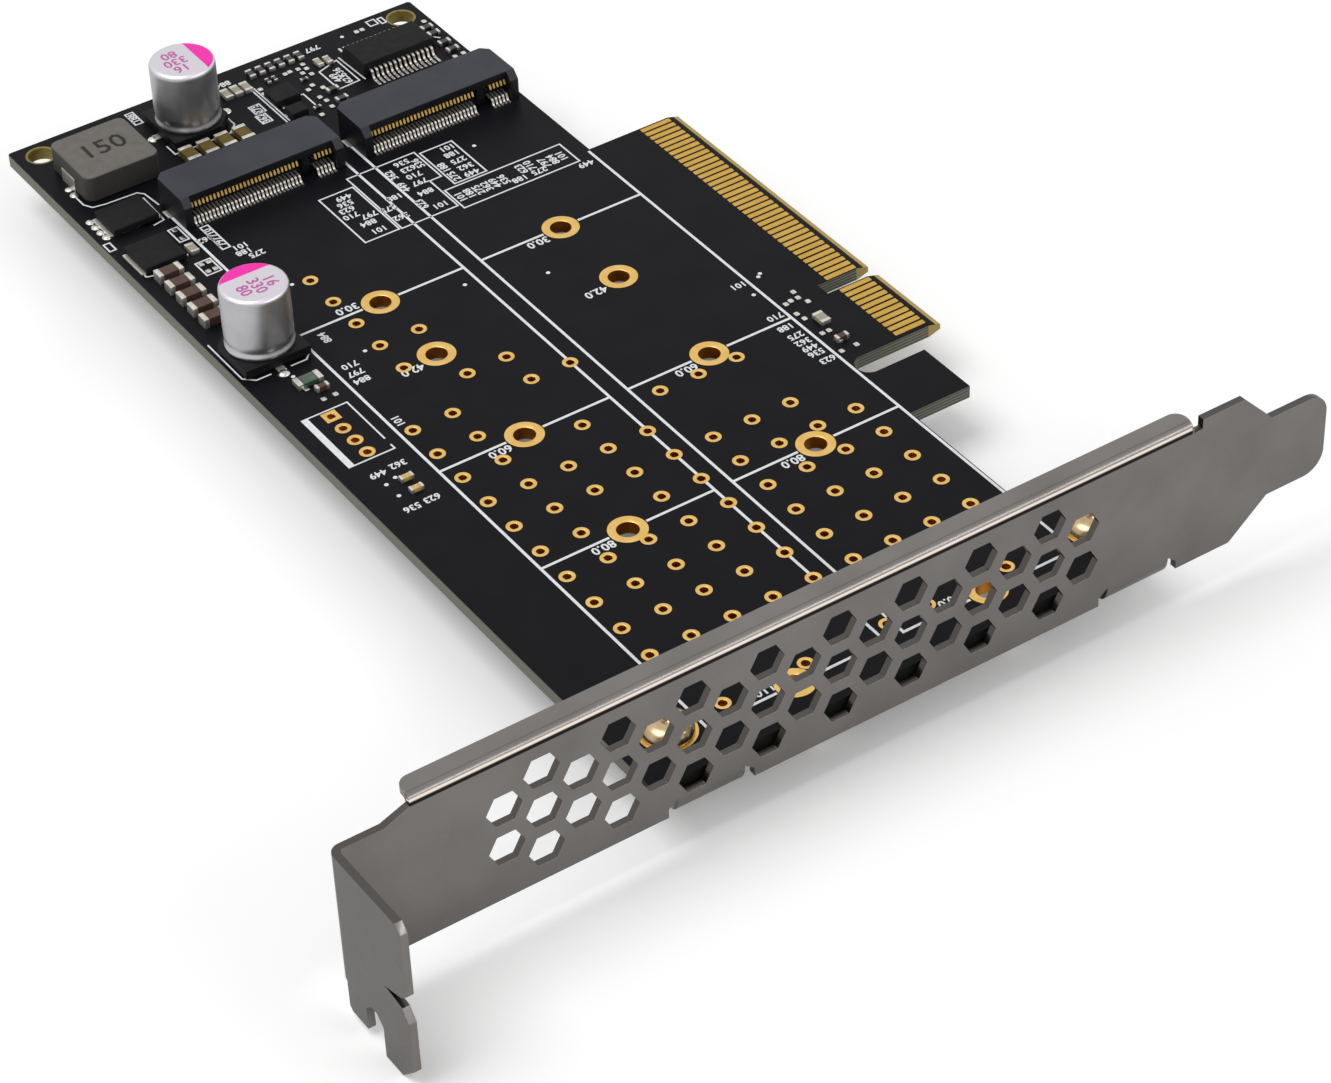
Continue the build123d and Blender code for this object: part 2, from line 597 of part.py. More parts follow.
with BuildPart() as interface_chip_body:
    with BuildSketch(Plane.XY.offset(CHIP_LOW)):
        with Locations(CHIP):
            Rectangle(CHIP_L, CHIP_W)
    extrude(amount=CHIP_H - CHIP_LOW)
    top_face = interface_chip_body.faces().sort_by(Axis.Z)[-1]
    chamfer(top_face.edges(), length=CHIP_H * CHIP_SHOULDER, length2=CHIP_DRAFT / 2)
save(interface_chip_body.part, "interface_chip_body")

lead_low = (CHIP_H - CHIP_FOOT) / 2
with BuildPart() as interface_chip_leads:
    for s in (-1, 1):
        with BuildPart(mode=Mode.PRIVATE) as one_lead:
            with BuildSketch(Plane.YZ.offset(-CHIP_PIN_W / 2)):
                with BuildLine():
                    Polyline(
                        (s * CHIP_SPAN / 2, 0), (s * (CHIP_SPAN / 2 - CHIP_FOOT), 0),
                        (s * CHIP_W / 2, lead_low), (s * CHIP_W / 2, lead_low + CHIP_FOOT / 2), close=True)
                make_face()
            extrude(amount=CHIP_PIN_W)
        with Locations(CHIP):
            with GridLocations(CHIP_PITCH, 1, CHIP_PINS, 1):
                add(one_lead.part)
save(interface_chip_leads.part, "interface_chip_leads")

# Chips without leads


def flat_chip(spec, name):
    """Moulded chip body that sits flat on the board."""
    x, y, w, d, h = spec
    with BuildPart() as chip:
        with BuildSketch(Plane.XY):
            with Locations((x, y)):
                Rectangle(w, d)
        extrude(amount=h)
        chamfer(chip.edges().group_by(Axis.Z)[-1], FLAT_BEVEL)
    save(chip.part, name)


def plain_chips(specs, name):
    """Small blocks whose end caps are too thin to show on their own."""
    with BuildPart() as chips:
        for x, y, l, w, h, turned in specs:
            with BuildSketch(Plane.XY):
                with Locations(Location((x, y), 90 * turned)):
                    Rectangle(l, w)
            extrude(amount=h)
    save(chips.part, name)


def capped_chips(specs, bodies_name, ends_name):
    """Ceramic bodies and the metal end caps that hold them at both ends."""
    with BuildPart() as bodies:
        for x, y, l, w, h, turned in specs:
            cap = l * END_SHARE
            with BuildSketch(Plane.XY.offset(END_T)):
                with Locations(Location((x, y), 90 * turned)):
                    Rectangle(l - 2 * cap, w - 2 * END_T)
            extrude(amount=h - 2 * END_T)
    save(bodies.part, bodies_name)
    with BuildPart() as ends:
        for x, y, l, w, h, turned in specs:
            cap = l * END_SHARE
            with BuildSketch(Plane.XY):
                with Locations(Location((x, y), 90 * turned)):
                    with GridLocations(l - cap, 1, 2, 1):
                        Rectangle(cap, w)
            extrude(amount=h)
    save(ends.part, ends_name)


flat_chip(REGULATOR, "regulator_chip")
flat_chip(CHOKE, "choke")
capped_chips(BROWN_CHIPS, "brown_capacitor_bodies", "brown_capacitor_ends")
capped_chips(TAN_CHIPS, "tan_capacitor_bodies", "tan_capacitor_ends")
plain_chips(SMALL_CHIPS, "small_chips")
capped_chips(FUSE, "fuse_body", "fuse_ends")
capped_chips(LEDS, "led_bodies", "led_ends")
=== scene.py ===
"""Dresses the dual module adapter card for its picture, in the frame of its CAD model.

Sizes are written in millimetres and turned into metres when a mesh is made.
"""

import logging
import math
from dataclasses import dataclass, field, replace
from enum import Enum
from typing import Iterable

import bmesh
import bpy
from mathutils import Matrix, Vector


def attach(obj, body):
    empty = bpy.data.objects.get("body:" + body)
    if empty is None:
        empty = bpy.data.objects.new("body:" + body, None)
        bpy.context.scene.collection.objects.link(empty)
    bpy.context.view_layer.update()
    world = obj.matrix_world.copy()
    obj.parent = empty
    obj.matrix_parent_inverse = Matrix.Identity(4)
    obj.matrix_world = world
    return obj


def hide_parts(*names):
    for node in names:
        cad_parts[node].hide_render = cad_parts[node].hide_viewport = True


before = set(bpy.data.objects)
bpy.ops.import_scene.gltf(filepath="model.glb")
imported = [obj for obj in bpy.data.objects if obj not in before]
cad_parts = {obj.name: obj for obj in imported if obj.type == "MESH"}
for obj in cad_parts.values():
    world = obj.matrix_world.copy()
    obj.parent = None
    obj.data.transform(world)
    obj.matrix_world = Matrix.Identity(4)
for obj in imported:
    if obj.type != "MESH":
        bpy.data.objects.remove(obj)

logging.basicConfig(level=logging.INFO, format="%(message)s")
log = logging.getLogger("card")

MM = 0.001
BODY = "root"

# Middles of the two module lanes along X
LANES = (-12.1, 12.1)
# Places of the bracket's screws
SCREWS = ((-26.4, -28.4), (27.0, -28.4))
# A point of a profile that is nearer to the axis than this lies on it
NEAR_AXIS = 1e-6
# The least cosine that a mitred corner is drawn out by
LONGEST_MITRE = 0.35

Flat = tuple[float, float]
Flats = tuple[Flat, ...]
Spot = tuple[float, float, float]
Paint = tuple[float, float, float, float]
Tree = bpy.types.NodeTree
Socket = bpy.types.NodeSocket
Mesh = bpy.types.Mesh


def linear(code: str) -> Paint:
    """Turns an sRGB hex colour into linear numbers.

    Args:
        code: Six hex digits.

    Returns:
        Red, green, blue and an alpha of 1.
    """
    parts = [int(code[i:i + 2], 16) / 255 for i in (0, 2, 4)]
    red, green, blue = (p / 12.92 if p <= 0.04045 else ((p + 0.055) / 1.055) ** 2.4 for p in parts)
    return red, green, blue, 1.0


def add_node(tree: Tree, kind: str, sockets: dict | None = None, **settings) -> bpy.types.Node:
    """Adds one node with its settings and fills its input sockets.

    Args:
        tree: The node tree that gets the node.
        kind: The node's type name.
        sockets: Input name or index, and the value or the output that feeds it.
        settings: The node's own settings.

    Returns:
        The new node.
    """
    made = tree.nodes.new(kind)
    for key, value in settings.items():
        setattr(made, key, value)
    for key, value in (sockets or {}).items():
        socket = made.inputs[key]
        if isinstance(value, Socket):
            tree.links.new(value, socket)
        else:
            socket.default_value = value
    return made


class Grain(Enum):
    """How the fine relief of a surface runs."""

    EVEN = "even"
    ALONG_X = "along x"
    SPECKLED = "speckled"


def emptied(owner: bpy.types.ID) -> Tree:
    """Switches on the node tree of a material or world and empties it."""
    owner.use_nodes = True
    owner.node_tree.nodes.clear()
    return owner.node_tree


@dataclass(frozen=True)
class Finish:
    """A plain finish: a base colour that drifts a little, and a fine relief.

    Attributes:
        name: The real material's name.
        color: Main colour as sRGB hex.
        second: Colour that the main one drifts to.
        roughness: Middle roughness.
        metallic: 1 for bare metal.
        specular: Strength of the plain reflection.
        patch: Size of the colour drift in mm.
        grain: Size of the relief in mm.
        depth: Height of the relief in mm.
        run: How the relief runs.
        side: Darker colour of the upright faces, painted shade, where it differs.
        slot: The record's material slot, or nothing for what the record doesn't list; not used.
    """

    name: str
    color: str
    second: str
    roughness: float = 0.5
    metallic: float = 0.0
    specular: float = 0.4
    patch: float = 3.0
    grain: float = 0.08
    depth: float = 0.006
    run: Grain = Grain.EVEN
    side: str = ""
    slot: str = ""

    def place(self, tree: Tree) -> Socket:
        """Object coordinates in millimetres."""
        coords = add_node(tree, "ShaderNodeTexCoord").outputs["Object"]
        return add_node(tree, "ShaderNodeVectorMath", {0: coords, "Scale": 1 / MM}, operation="SCALE").outputs[0]

    def noise(self, tree: Tree, place: Socket, size: float, detail: float = 3.0) -> Socket:
        """Noise with features of the given size in mm."""
        return add_node(tree, "ShaderNodeTexNoise",
                        {"Vector": place, "Scale": 1 / size, "Detail": detail}).outputs["Fac"]

    def mix(self, tree: Tree, share, first, second) -> Socket:
        """Mixes two colours by a share from 0 to 1."""
        return add_node(tree, "ShaderNodeMix", {0: share, 6: first, 7: second}, data_type="RGBA").outputs[2]

    def step(self, tree: Tree, value, low: float, high: float) -> Socket:
        """0 below low, 1 above high, and a straight ramp between them."""
        return add_node(tree, "ShaderNodeMapRange", {0: value, 1: low, 2: high, 3: 0.0, 4: 1.0}).outputs[0]

    def both(self, tree: Tree, first, second) -> Socket:
        """The product of two shares."""
        return add_node(tree, "ShaderNodeMath", {0: first, 1: second}, operation="MULTIPLY").outputs[0]

    def facing(self, tree: Tree, axis: str) -> Socket:
        """How far the surface faces along an axis, either way, from 0 to 1."""
        normal = add_node(tree, "ShaderNodeNewGeometry").outputs["Normal"]
        split = add_node(tree, "ShaderNodeSeparateXYZ", {0: normal}).outputs
        return add_node(tree, "ShaderNodeMath", {0: split[axis]}, operation="ABSOLUTE").outputs[0]

    def paint(self, tree: Tree, place: Socket) -> Socket:
        """The colour of the surface; a finish with a pattern has its own."""
        drift = self.step(tree, self.noise(tree, place, self.patch), 0.3, 0.7)
        drifted = self.mix(tree, drift, linear(self.color), linear(self.second))
        if not self.side:
            return drifted
        # Painted shade: upright faces take the darker side colour.
        flat = self.step(tree, self.facing(tree, "Z"), 0.25, 0.85)
        return self.mix(tree, flat, linear(self.side), drifted)

    def relief(self, tree: Tree, place: Socket) -> Socket:
        """The height of the fine relief, from 0 to 1."""
        stretch = (0.06 if self.run is Grain.ALONG_X else 1.0, 1.0, 1.0)
        spread = add_node(tree, "ShaderNodeVectorMath", {0: place, 1: stretch}, operation="MULTIPLY")
        if self.run is Grain.SPECKLED:
            cells = add_node(tree, "ShaderNodeTexVoronoi", {"Vector": spread.outputs[0], "Scale": 1 / self.grain})
            return cells.outputs["Distance"]
        return self.noise(tree, spread.outputs[0], self.grain, 4.0)

    def dull(self, tree: Tree, place: Socket) -> Socket:
        """The roughness, which wanders a little round its middle value."""
        wander = self.noise(tree, place, self.patch * 0.7, 2.0)
        ends = {3: self.roughness * 0.88, 4: min(1.0, self.roughness * 1.12)}
        return add_node(tree, "ShaderNodeMapRange", {0: wander, 1: 0.2, 2: 0.8, **ends}).outputs[0]

    def material(self) -> bpy.types.Material:
        """Builds the material once and returns it.

        Returns:
            The material with this finish's name.
        """
        known = bpy.data.materials.get(self.name)
        if known is not None:
            return known
        made = bpy.data.materials.new(self.name)
        tree = emptied(made)
        place = self.place(tree)
        bump = add_node(tree, "ShaderNodeBump",
                        {"Height": self.relief(tree, place), "Distance": self.depth * MM, "Strength": 1.0})
        shader = add_node(tree, "ShaderNodeBsdfPrincipled", {
            "Base Color": self.paint(tree, place), "Roughness": self.dull(tree, place),
            "Metallic": self.metallic, "Specular IOR Level": self.specular, "Normal": bump.outputs[0]})
        add_node(tree, "ShaderNodeOutputMaterial", {"Surface": shader.outputs[0]})
        return made


@dataclass(frozen=True)
class SolderMask(Finish):
    """Black solder mask on glass laminate: the cut edges and the connector's bevel stay bare, and the cut edge behind
    the bracket gets painted shade.

    Attributes:
        edge: Colour of the cut laminate.
        layer: Darker colour of the layers in the cut edge.
        bevel: Colour of the bare bevel under the contacts.
        bevel_from: Where along X the bevel can start, in mm.
        shaded: Colour of the painted shade on the cut edge behind the bracket.
        shade_from: Where along Y that painted shade starts and where it is full, in mm.
    """

    edge: str = "86877c"
    layer: str = "55564d"
    bevel: str = "b39b5e"
    bevel_from: float = 34.45
    shaded: str = "1f201c"
    shade_from: Flat = (-32.5, -32.7)

    def paint(self, tree: Tree, place: Socket) -> Socket:
        """Mask on the faces, layered laminate on the edges with painted shade behind the bracket, tan glass on the
        bevel.
        """
        mask = super().paint(tree, place)
        split = add_node(tree, "ShaderNodeSeparateXYZ", {0: place}).outputs
        layers = add_node(tree, "ShaderNodeTexWave", {"Vector": place, "Scale": 0.8, "Distortion": 1.0},
                          bands_direction="Z")
        laminate = self.mix(tree, layers.outputs["Fac"], linear(self.edge), linear(self.layer))
        # Painted shade: the cut edge turns dark towards the front, behind the bracket.
        front = self.step(tree, split["Y"], *self.shade_from)
        laminate = self.mix(tree, front, laminate, linear(self.shaded))
        up = self.facing(tree, "Z")
        faces = self.step(tree, up, 0.5, 0.6)
        colored = self.mix(tree, faces, laminate, mask)
        sloped = add_node(tree, "ShaderNodeMath", {0: up, 1: 0.985}, operation="LESS_THAN").outputs[0]
        rim = self.step(tree, split["X"], self.bevel_from, self.bevel_from + 0.05)
        return self.mix(tree, self.both(tree, sloped, rim), colored, linear(self.bevel))


@dataclass(frozen=True)
class BentSheet(Finish):
    """Plated sheet with painted shade on its sheared edges, and along the bend a painted dark reflection with a
    painted highlight above it.

    Attributes:
        cut: Colour of the sheared edges, the vents' walls among them: painted shade.
        mark: Colour of the painted dark reflection along the bend.
        face: Where the plate's face lies along Y, in mm.
        thick: Thickness of the sheet in mm.
        painted_highlight: Colour of the painted highlight above it.
        bend: Lower and upper height of the painted dark reflection along the bend, in mm.
        highlight_top: Height where the painted highlight ends, in mm.
        bend_end: Where the painted dark reflection and highlight end along X, in mm.
    """

    cut: str = "55524f"
    mark: str = "24211f"
    face: float = -36.0
    thick: float = 0.86
    painted_highlight: str = "f2e6da"
    bend: Flat = (14.02, 14.5)
    highlight_top: float = 14.78
    bend_end: float = 33.5

    def paint(self, tree: Tree, place: Socket) -> Socket:
        """Plating that drifts a little, with painted shade on its sheared edges and a painted dark reflection and
        highlight along the bend.
        """
        sheet = super().paint(tree, place)
        spot = add_node(tree, "ShaderNodeSeparateXYZ", {0: place}).outputs
        back = self.face + self.thick
        # Painted shade: the sheared edges, the vents' walls among them, turn darker.
        sheared = self.both(tree, self.step(tree, self.facing(tree, "Y"), 0.45, 0.3),
                            self.step(tree, spot["Y"], back, back - 0.05))
        low, high = self.bend
        bent = self.both(tree, self.step(tree, spot["X"], self.bend_end, self.bend_end - 0.2),
                         self.step(tree, spot["Y"], self.face + 0.6, self.face + 0.5))
        made = self.mix(tree, sheared, sheet, linear(self.cut))
        # Along the bend: a painted highlight above, a painted dark reflection below.
        for start, end, color in ((high - 0.05, self.highlight_top, self.painted_highlight), (low, high, self.mark)):
            line = self.both(tree, self.step(tree, spot["Z"], start, start + 0.1),
                             self.step(tree, spot["Z"], end, end - 0.1))
            made = self.mix(tree, self.both(tree, bent, line), made, linear(color))
        return made


@dataclass(frozen=True)
class PrintedCan(Finish):
    """Aluminium can with a lacquered top and a coloured segment that marks the negative side.

    Attributes:
        center: Middle of the can in mm.
        toward: Direction of the segment, as a unit vector.
        top: Colour of the lacquered top.
        ink: Colour of the segment.
        chord: Distance of the segment's straight side from the middle, in mm.
        radius: Radius that the print reaches, in mm.
        height: Height above which the top is lacquered, in mm.
    """

    center: Flat = (0.0, 0.0)
    toward: Flat = (1.0, 0.0)
    top: str = "d3ced6"
    ink: str = "ee35ac"
    chord: float = 1.75
    radius: float = 3.72
    height: float = 9.0

    def paint(self, tree: Tree, place: Socket) -> Socket:
        """Bare metal on the side, lacquer on the top and ink beyond the chord."""
        metal = super().paint(tree, place)
        level = place
        for kind, value in (("SUBTRACT", (*self.center, 0.0)), ("MULTIPLY", (1.0, 1.0, 0.0))):
            level = add_node(tree, "ShaderNodeVectorMath", {0: level, 1: value}, operation=kind).outputs[0]
        reach = add_node(tree, "ShaderNodeVectorMath", {0: level}, operation="LENGTH")
        along = add_node(tree, "ShaderNodeVectorMath", {0: level, 1: (*self.toward, 0.0)}, operation="DOT_PRODUCT")
        z = add_node(tree, "ShaderNodeSeparateXYZ", {0: place}).outputs["Z"]
        high = self.step(tree, z, self.height - 0.02, self.height + 0.02)
        inked = self.step(tree, along.outputs["Value"], self.chord - 0.03, self.chord + 0.03)
        inside = self.step(tree, reach.outputs["Value"], self.radius + 0.03, self.radius - 0.03)
        lid = self.mix(tree, self.both(tree, inked, inside), linear(self.top), linear(self.ink))
        return self.mix(tree, high, metal, lid)


# Black solder mask over a glass laminate
MASK = SolderMask("black_solder_mask", "0f0f13", "141419", 0.42, specular=0.06, patch=6.0, grain=0.5, depth=0.004,
                  slot="solder_mask")
# Immersion gold on pads and rings, with painted shade in a darker orange on their upright faces, the hole walls among
# them
GOLD = Finish("immersion_gold", "ddb25f", "e4bf74", 0.36, metallic=1.0, patch=1.5, grain=0.2, depth=0.003,
              side="d8923a", slot="gold")
# Gold inside the drilled holes, dulled by the drill's marks; its darker colour is painted shade of the holes
BARREL = Finish("plated_hole_gold", "8f8040", "7a6a2c", metallic=0.25, patch=0.8, grain=0.1, depth=0.01, slot="gold")
# Hard gold of the edge contacts, with fine sliding marks along the contact
FINGER = Finish("hard_gold_contact", "c39a43", "cda752", 0.34, metallic=1.0, patch=2.0, grain=0.12, depth=0.003,
                run=Grain.ALONG_X, slot="gold")
# White epoxy ink of the board's print
INK = Finish("white_board_ink", "eceef0", "dcdfe2", 0.7, specular=0.3, patch=0.6, depth=0.004)
# Nickel plated steel sheet with rolling marks, sheared and bent; painted shade darkens its sheared edges, and a
# painted dark reflection and highlight run along the bend
SHEET = BentSheet("nickel_plated_sheet", "807c79", "74716e", 0.27, metallic=1.0, patch=9.0, grain=0.25, depth=0.0012,
                  run=Grain.ALONG_X, slot="bracket_steel")
# Nickel plated screw
SCREW = Finish("nickel_plated_screw", "c2ab86", "b09a77", 0.28, metallic=1.0, patch=0.8, grain=0.1, depth=0.003,
               slot="screw_steel")
# Glass filled nylon of the module sockets, with painted shade on its upright faces
NYLON = Finish("slate_nylon_moulding", "23262e", "2c2f38", 0.46, specular=0.3, patch=4.0, side="0e0f13",
               slot="socket_plastic")
# Black moulding of the capacitor bases
BASE = Finish("black_nylon_base", "0c0c0e", "121214", specular=0.15, patch=2.0, slot="base_plastic")
# Gold flashed contact springs, which their wiping has dulled
SPRING = Finish("gold_flashed_spring", "d8b25c", "c09a48", 0.36, metallic=0.4, specular=0.8, patch=0.8, depth=0.003,
                slot="gold")
# Tin plated leads, a little matt from soldering
TIN = Finish("tin_plated_lead", "dedad2", "c4bfb6", 0.34, metallic=0.75, specular=0.8, patch=0.5, grain=0.1,
             slot="tinned_metal")
# Soft solder fillets
SOLDER = Finish("solder_fillet", "dcdad5", "bcb9b3", 0.26, metallic=1.0, patch=0.5, grain=0.2, depth=0.012,
                slot="tinned_metal")
# Moulded black epoxy of the chips, and of the choke, which the record lists under its powder
EPOXY = Finish("black_epoxy_moulding", "161618", "1c1c1e", 0.62, specular=0.12, patch=1.5, grain=0.06, depth=0.008,
               slot="chip_epoxy")
CHOKE = replace(EPOXY, slot="pressed_powder")
# Pressed iron powder of the inductor, with painted shade on its sides
POWDER = Finish("pressed_iron_powder", "6a6761", "605d58", 0.6, specular=0.35, patch=1.2, grain=0.09, depth=0.012,
                run=Grain.SPECKLED, side="3b3937", slot="pressed_powder")
# Dark ink of the inductor's value
DARK_INK = Finish("dark_laser_mark", "2c2a28", "353331", 0.8, specular=0.2, patch=0.5)
# Magenta print of the capacitors' values
CAN_INK = Finish("magenta_can_ink", "b8589c", "c06aa8", 0.6, specular=0.3, patch=0.4, depth=0.003)
# Brown barium titanate of the large chip capacitors
BROWN = Finish("fired_brown_ceramic", "4a332c", "563e36", specular=0.3, patch=0.8, slot="brown_ceramic")
# Tan ceramic of the middle sized chip capacitors
TAN = Finish("fired_tan_ceramic", "6b5720", "57481f", specular=0.2, patch=0.8, slot="tan_ceramic")
# Dark resistor glaze of the small chips
GLAZE = Finish("dark_resistor_glaze", "1d1d20", "2a2a2c", 0.35, specular=0.5, patch=0.6, depth=0.004,
               slot="grey_ceramic")
# Beige ceramic of the small chip capacitors
BEIGE = Finish("beige_ceramic", "a9a596", "96917f", patch=0.6, depth=0.005, slot="grey_ceramic")
# Green glass coat of the fuse
GREEN = Finish("green_fuse_glass", "35493c", "4f6355", 0.25, specular=0.5, patch=0.7, grain=0.1, depth=0.004,
               slot="fuse_ceramic")
# Amber resin of the indicator lamps
RESIN = Finish("amber_lamp_resin", "d6b878", "c8a050", 0.22, specular=0.5, patch=0.5, grain=0.1, depth=0.003,
               slot="led_resin")


@dataclass
class Shape:
    """Points in millimetres and the faces over them."""

    points: list[Vector] = field(default_factory=list)
    faces: list[tuple[int, ...]] = field(default_factory=list)

    def take(self, other: "Shape") -> "Shape":
        """Adds another shape to this one and returns this one."""
        start = len(self.points)
        self.points += other.points
        self.faces += [tuple(i + start for i in face) for face in other.faces]
        return self

    def placed(self, move: Spot = (0.0, 0.0, 0.0), turn: float = 0.0) -> "Shape":
        """Returns a copy turned about Z by degrees and then moved."""
        matrix = Matrix.Translation(move) @ Matrix.Rotation(math.radians(turn), 4, "Z")
        return Shape([matrix @ p for p in self.points], list(self.faces))

    def mesh(self, name: str) -> Mesh:
        """Makes the mesh in metres, with its faces outward."""
        made = bpy.data.meshes.new(name)
        made.from_pydata([p * MM for p in self.points], [], self.faces)
        work = bmesh.new()
        work.from_mesh(made)
        bmesh.ops.recalc_face_normals(work, faces=work.faces)
        work.to_mesh(made)
        work.free()
        return made

    def rounded(self, width: float, steps: int = 2, angle: float = 30.0, spare: float | None = None) -> "Shape":
        """Returns a copy whose sharp edges are rounded.

        Args:
            width: Width of the round in mm.
            steps: Faces across the round.
            angle: Edges sharper than this many degrees are rounded.
            spare: Edges whose both ends lie below this height are left sharp.

        Returns:
            The rounded copy.
        """
        work = bmesh.new()
        made = [work.verts.new(p) for p in self.points]
        for face in self.faces:
            work.faces.new([made[i] for i in face])
        bmesh.ops.recalc_face_normals(work, faces=work.faces)
        sharp = [e for e in work.edges if len(e.link_faces) == 2
                 and e.calc_face_angle(0.0) > math.radians(angle)
                 and (spare is None or max(v.co.z for v in e.verts) > spare)]
        bmesh.ops.bevel(work, geom=sharp, offset=width, segments=steps, profile=0.5, affect="EDGES",
                        clamp_overlap=True)
        return worked_shape(work)


def worked_shape(work: bmesh.types.BMesh, unit: float = 1.0) -> Shape:
    """Turns an edited mesh into a shape and frees it; unit is a millimetre in its lengths."""
    work.verts.index_update()
    result = Shape([v.co / unit for v in work.verts], [tuple(v.index for v in f.verts) for f in work.faces])
    work.free()
    return result


def corners(x0: float, y0: float, x1: float, y1: float) -> list[Flat]:
    """The corners of a rectangle, from its first corner by way of (x1, y0)."""
    return [(x0, y0), (x1, y0), (x1, y1), (x0, y1)]


def prism(outline: list[Flat], low: float, high: float) -> Shape:
    """The closed solid over a flat outline, between two heights in mm."""
    count = len(outline)
    points = [Vector((x, y, z)) for z in (low, high) for x, y in outline]
    faces = [tuple(range(count - 1, -1, -1)), tuple(range(count, 2 * count))]
    faces += [(i, (i + 1) % count, count + (i + 1) % count, count + i) for i in range(count)]
    return Shape(points, faces)


def block(width: float, depth: float, low: float, high: float) -> Shape:
    """A block round the middle of the floor plan."""
    return prism(corners(-width / 2, -depth / 2, width / 2, depth / 2), low, high)


def rounded_outline(width: float, depth: float, radius: float, steps: int = 3) -> list[Flat]:
    """The corners of a rectangle with round corners."""
    result = []
    for i, (sx, sy) in enumerate(((1, 1), (-1, 1), (-1, -1), (1, -1))):
        for j in range(steps + 1):
            a = math.radians(90 * i + 90 * j / steps)
            result.append((sx * (width / 2 - radius) + radius * math.cos(a),
                           sy * (depth / 2 - radius) + radius * math.sin(a)))
    return result


def lathe(profile: list[Flat], steps: int = 40, closed: bool = False) -> Shape:
    """Turns a profile of radius and height about the Z axis.

    Args:
        profile: Radius and height of each point; the ends lie on the axis unless it is closed.
        steps: Faces round the axis.
        closed: Whether the profile is a loop away from the axis.

    Returns:
        The turned solid.
    """
    points: list[Vector] = []
    rows: list[list[int]] = []
    for radius, height in profile:
        if radius < NEAR_AXIS:
            rows.append([len(points)] * steps)
            points.append(Vector((0.0, 0.0, height)))
            continue
        rows.append(list(range(len(points), len(points) + steps)))
        turns = [math.tau * i / steps for i in range(steps)]
        points += [Vector((radius * math.cos(a), radius * math.sin(a), height)) for a in turns]
    faces = []
    for first, second in zip(rows, rows[1:] + rows[:1] if closed else rows[1:]):
        for i in range(steps):
            j = (i + 1) % steps
            unique = tuple(dict.fromkeys((first[i], first[j], second[j], second[i])))
            if len(unique) > 2:
                faces.append(unique)
    return Shape(points, faces)


def ribbon(route: list[Flat], width: float, low: float, high: float, closed: bool = False) -> Shape:
    """A flat line of ink or metal along a route, with mitred corners.

    Args:
        route: Corners of the middle line.
        width: Width of the line in mm.
        low: Lower height in mm.
        high: Upper height in mm.
        closed: Whether the last corner joins the first.

    Returns:
        The thin solid.
    """
    spots = [Vector(p) for p in route]
    count = len(spots)
    sides: list[tuple[Vector, Vector]] = []
    for i, spot in enumerate(spots):
        way_in = (spot - spots[i - 1]).normalized() if i or closed else None
        way_out = (spots[(i + 1) % count] - spot).normalized() if i < count - 1 or closed else None
        way_in, way_out = way_in or way_out, way_out or way_in
        across_in, across_out = Vector((-way_in.y, way_in.x)), Vector((-way_out.y, way_out.x))
        miter = (across_in + across_out).normalized()
        reach = width / 2 / max(LONGEST_MITRE, miter.dot(across_in))
        sides.append((spot + miter * reach, spot - miter * reach))
    points = [Vector((*side, z)) for left, right in sides for side, z in
              ((left, low), (right, low), (right, high), (left, high))]
    faces: list[tuple[int, ...]] = []
    for i in range(count if closed else count - 1):
        a, b = 4 * i, 4 * ((i + 1) % count)
        faces += [(a + j, a + (j + 1) % 4, b + (j + 1) % 4, b + j) for j in range(4)]
    if not closed:
        last = 4 * (count - 1)
        faces += [(0, 3, 2, 1), (last, last + 1, last + 2, last + 3)]
    return Shape(points, faces)


def bent_strip(route: list[Flat], thick: float, width: float) -> Shape:
    """A bent strip of metal, centred on X, whose route runs in the YZ plane."""
    flat = ribbon(route, thick, -width / 2, width / 2)
    return Shape([Vector((p.z, p.x, p.y)) for p in flat.points], flat.faces)


def put(name: str, data: bpy.types.ID) -> bpy.types.Object:
    """Puts an object with the given data in the scene."""
    made = bpy.data.objects.new(name, data)
    bpy.context.scene.collection.objects.link(made)
    return made


def baked(data: bpy.types.ID, kind: str = "", inputs: dict | None = None, **settings) -> Mesh:
    """Evaluates a mesh or curve, with one modifier if its kind is given.

    Args:
        data: The mesh or curve.
        kind: The modifier's type.
        inputs: Input names of the modifier's node tree and their values.
        settings: The modifier's own settings.

    Returns:
        The plain result as a new mesh.
    """
    holder = put("baked", data)
    if kind:
        modifier = holder.modifiers.new("baked", kind)
        for key, value in settings.items():
            setattr(modifier, key, value)
        for item in modifier.node_group.interface.items_tree if inputs else ():
            if item.item_type == "SOCKET" and item.in_out == "INPUT" and item.name in inputs:
                modifier[item.identifier] = inputs[item.name]
    graph = bpy.context.evaluated_depsgraph_get()
    result = bpy.data.meshes.new_from_object(holder.evaluated_get(graph), depsgraph=graph)
    holder.modifiers.clear()
    bpy.data.objects.remove(holder)
    return result


def baked_shape(data: bpy.types.ID, kind: str = "", unit: float = MM, **settings) -> Shape:
    """The same as a shape; unit is a millimetre in the lengths of the data."""
    mesh = baked(data, kind, **settings)
    return Shape([v.co / unit for v in mesh.vertices], [tuple(p.vertices) for p in mesh.polygons])


def numerals(text: str, size: float, rise: float) -> Shape:
    """Plain bold numerals round the origin, which read along X.

    Args:
        text: The numerals.
        size: Height of the font in mm.
        rise: Thickness in mm.

    Returns:
        The numerals as a thin solid.
    """
    curve = bpy.data.curves.new("numerals", "FONT")
    curve.body = text
    curve.size = size
    curve.extrude = rise / 2
    curve.offset = min(0.035, size * 0.022)
    curve.resolution_u = 2
    curve.align_x = curve.align_y = "CENTER"
    result = baked_shape(curve, unit=1.0)
    bpy.data.curves.remove(curve)
    return result


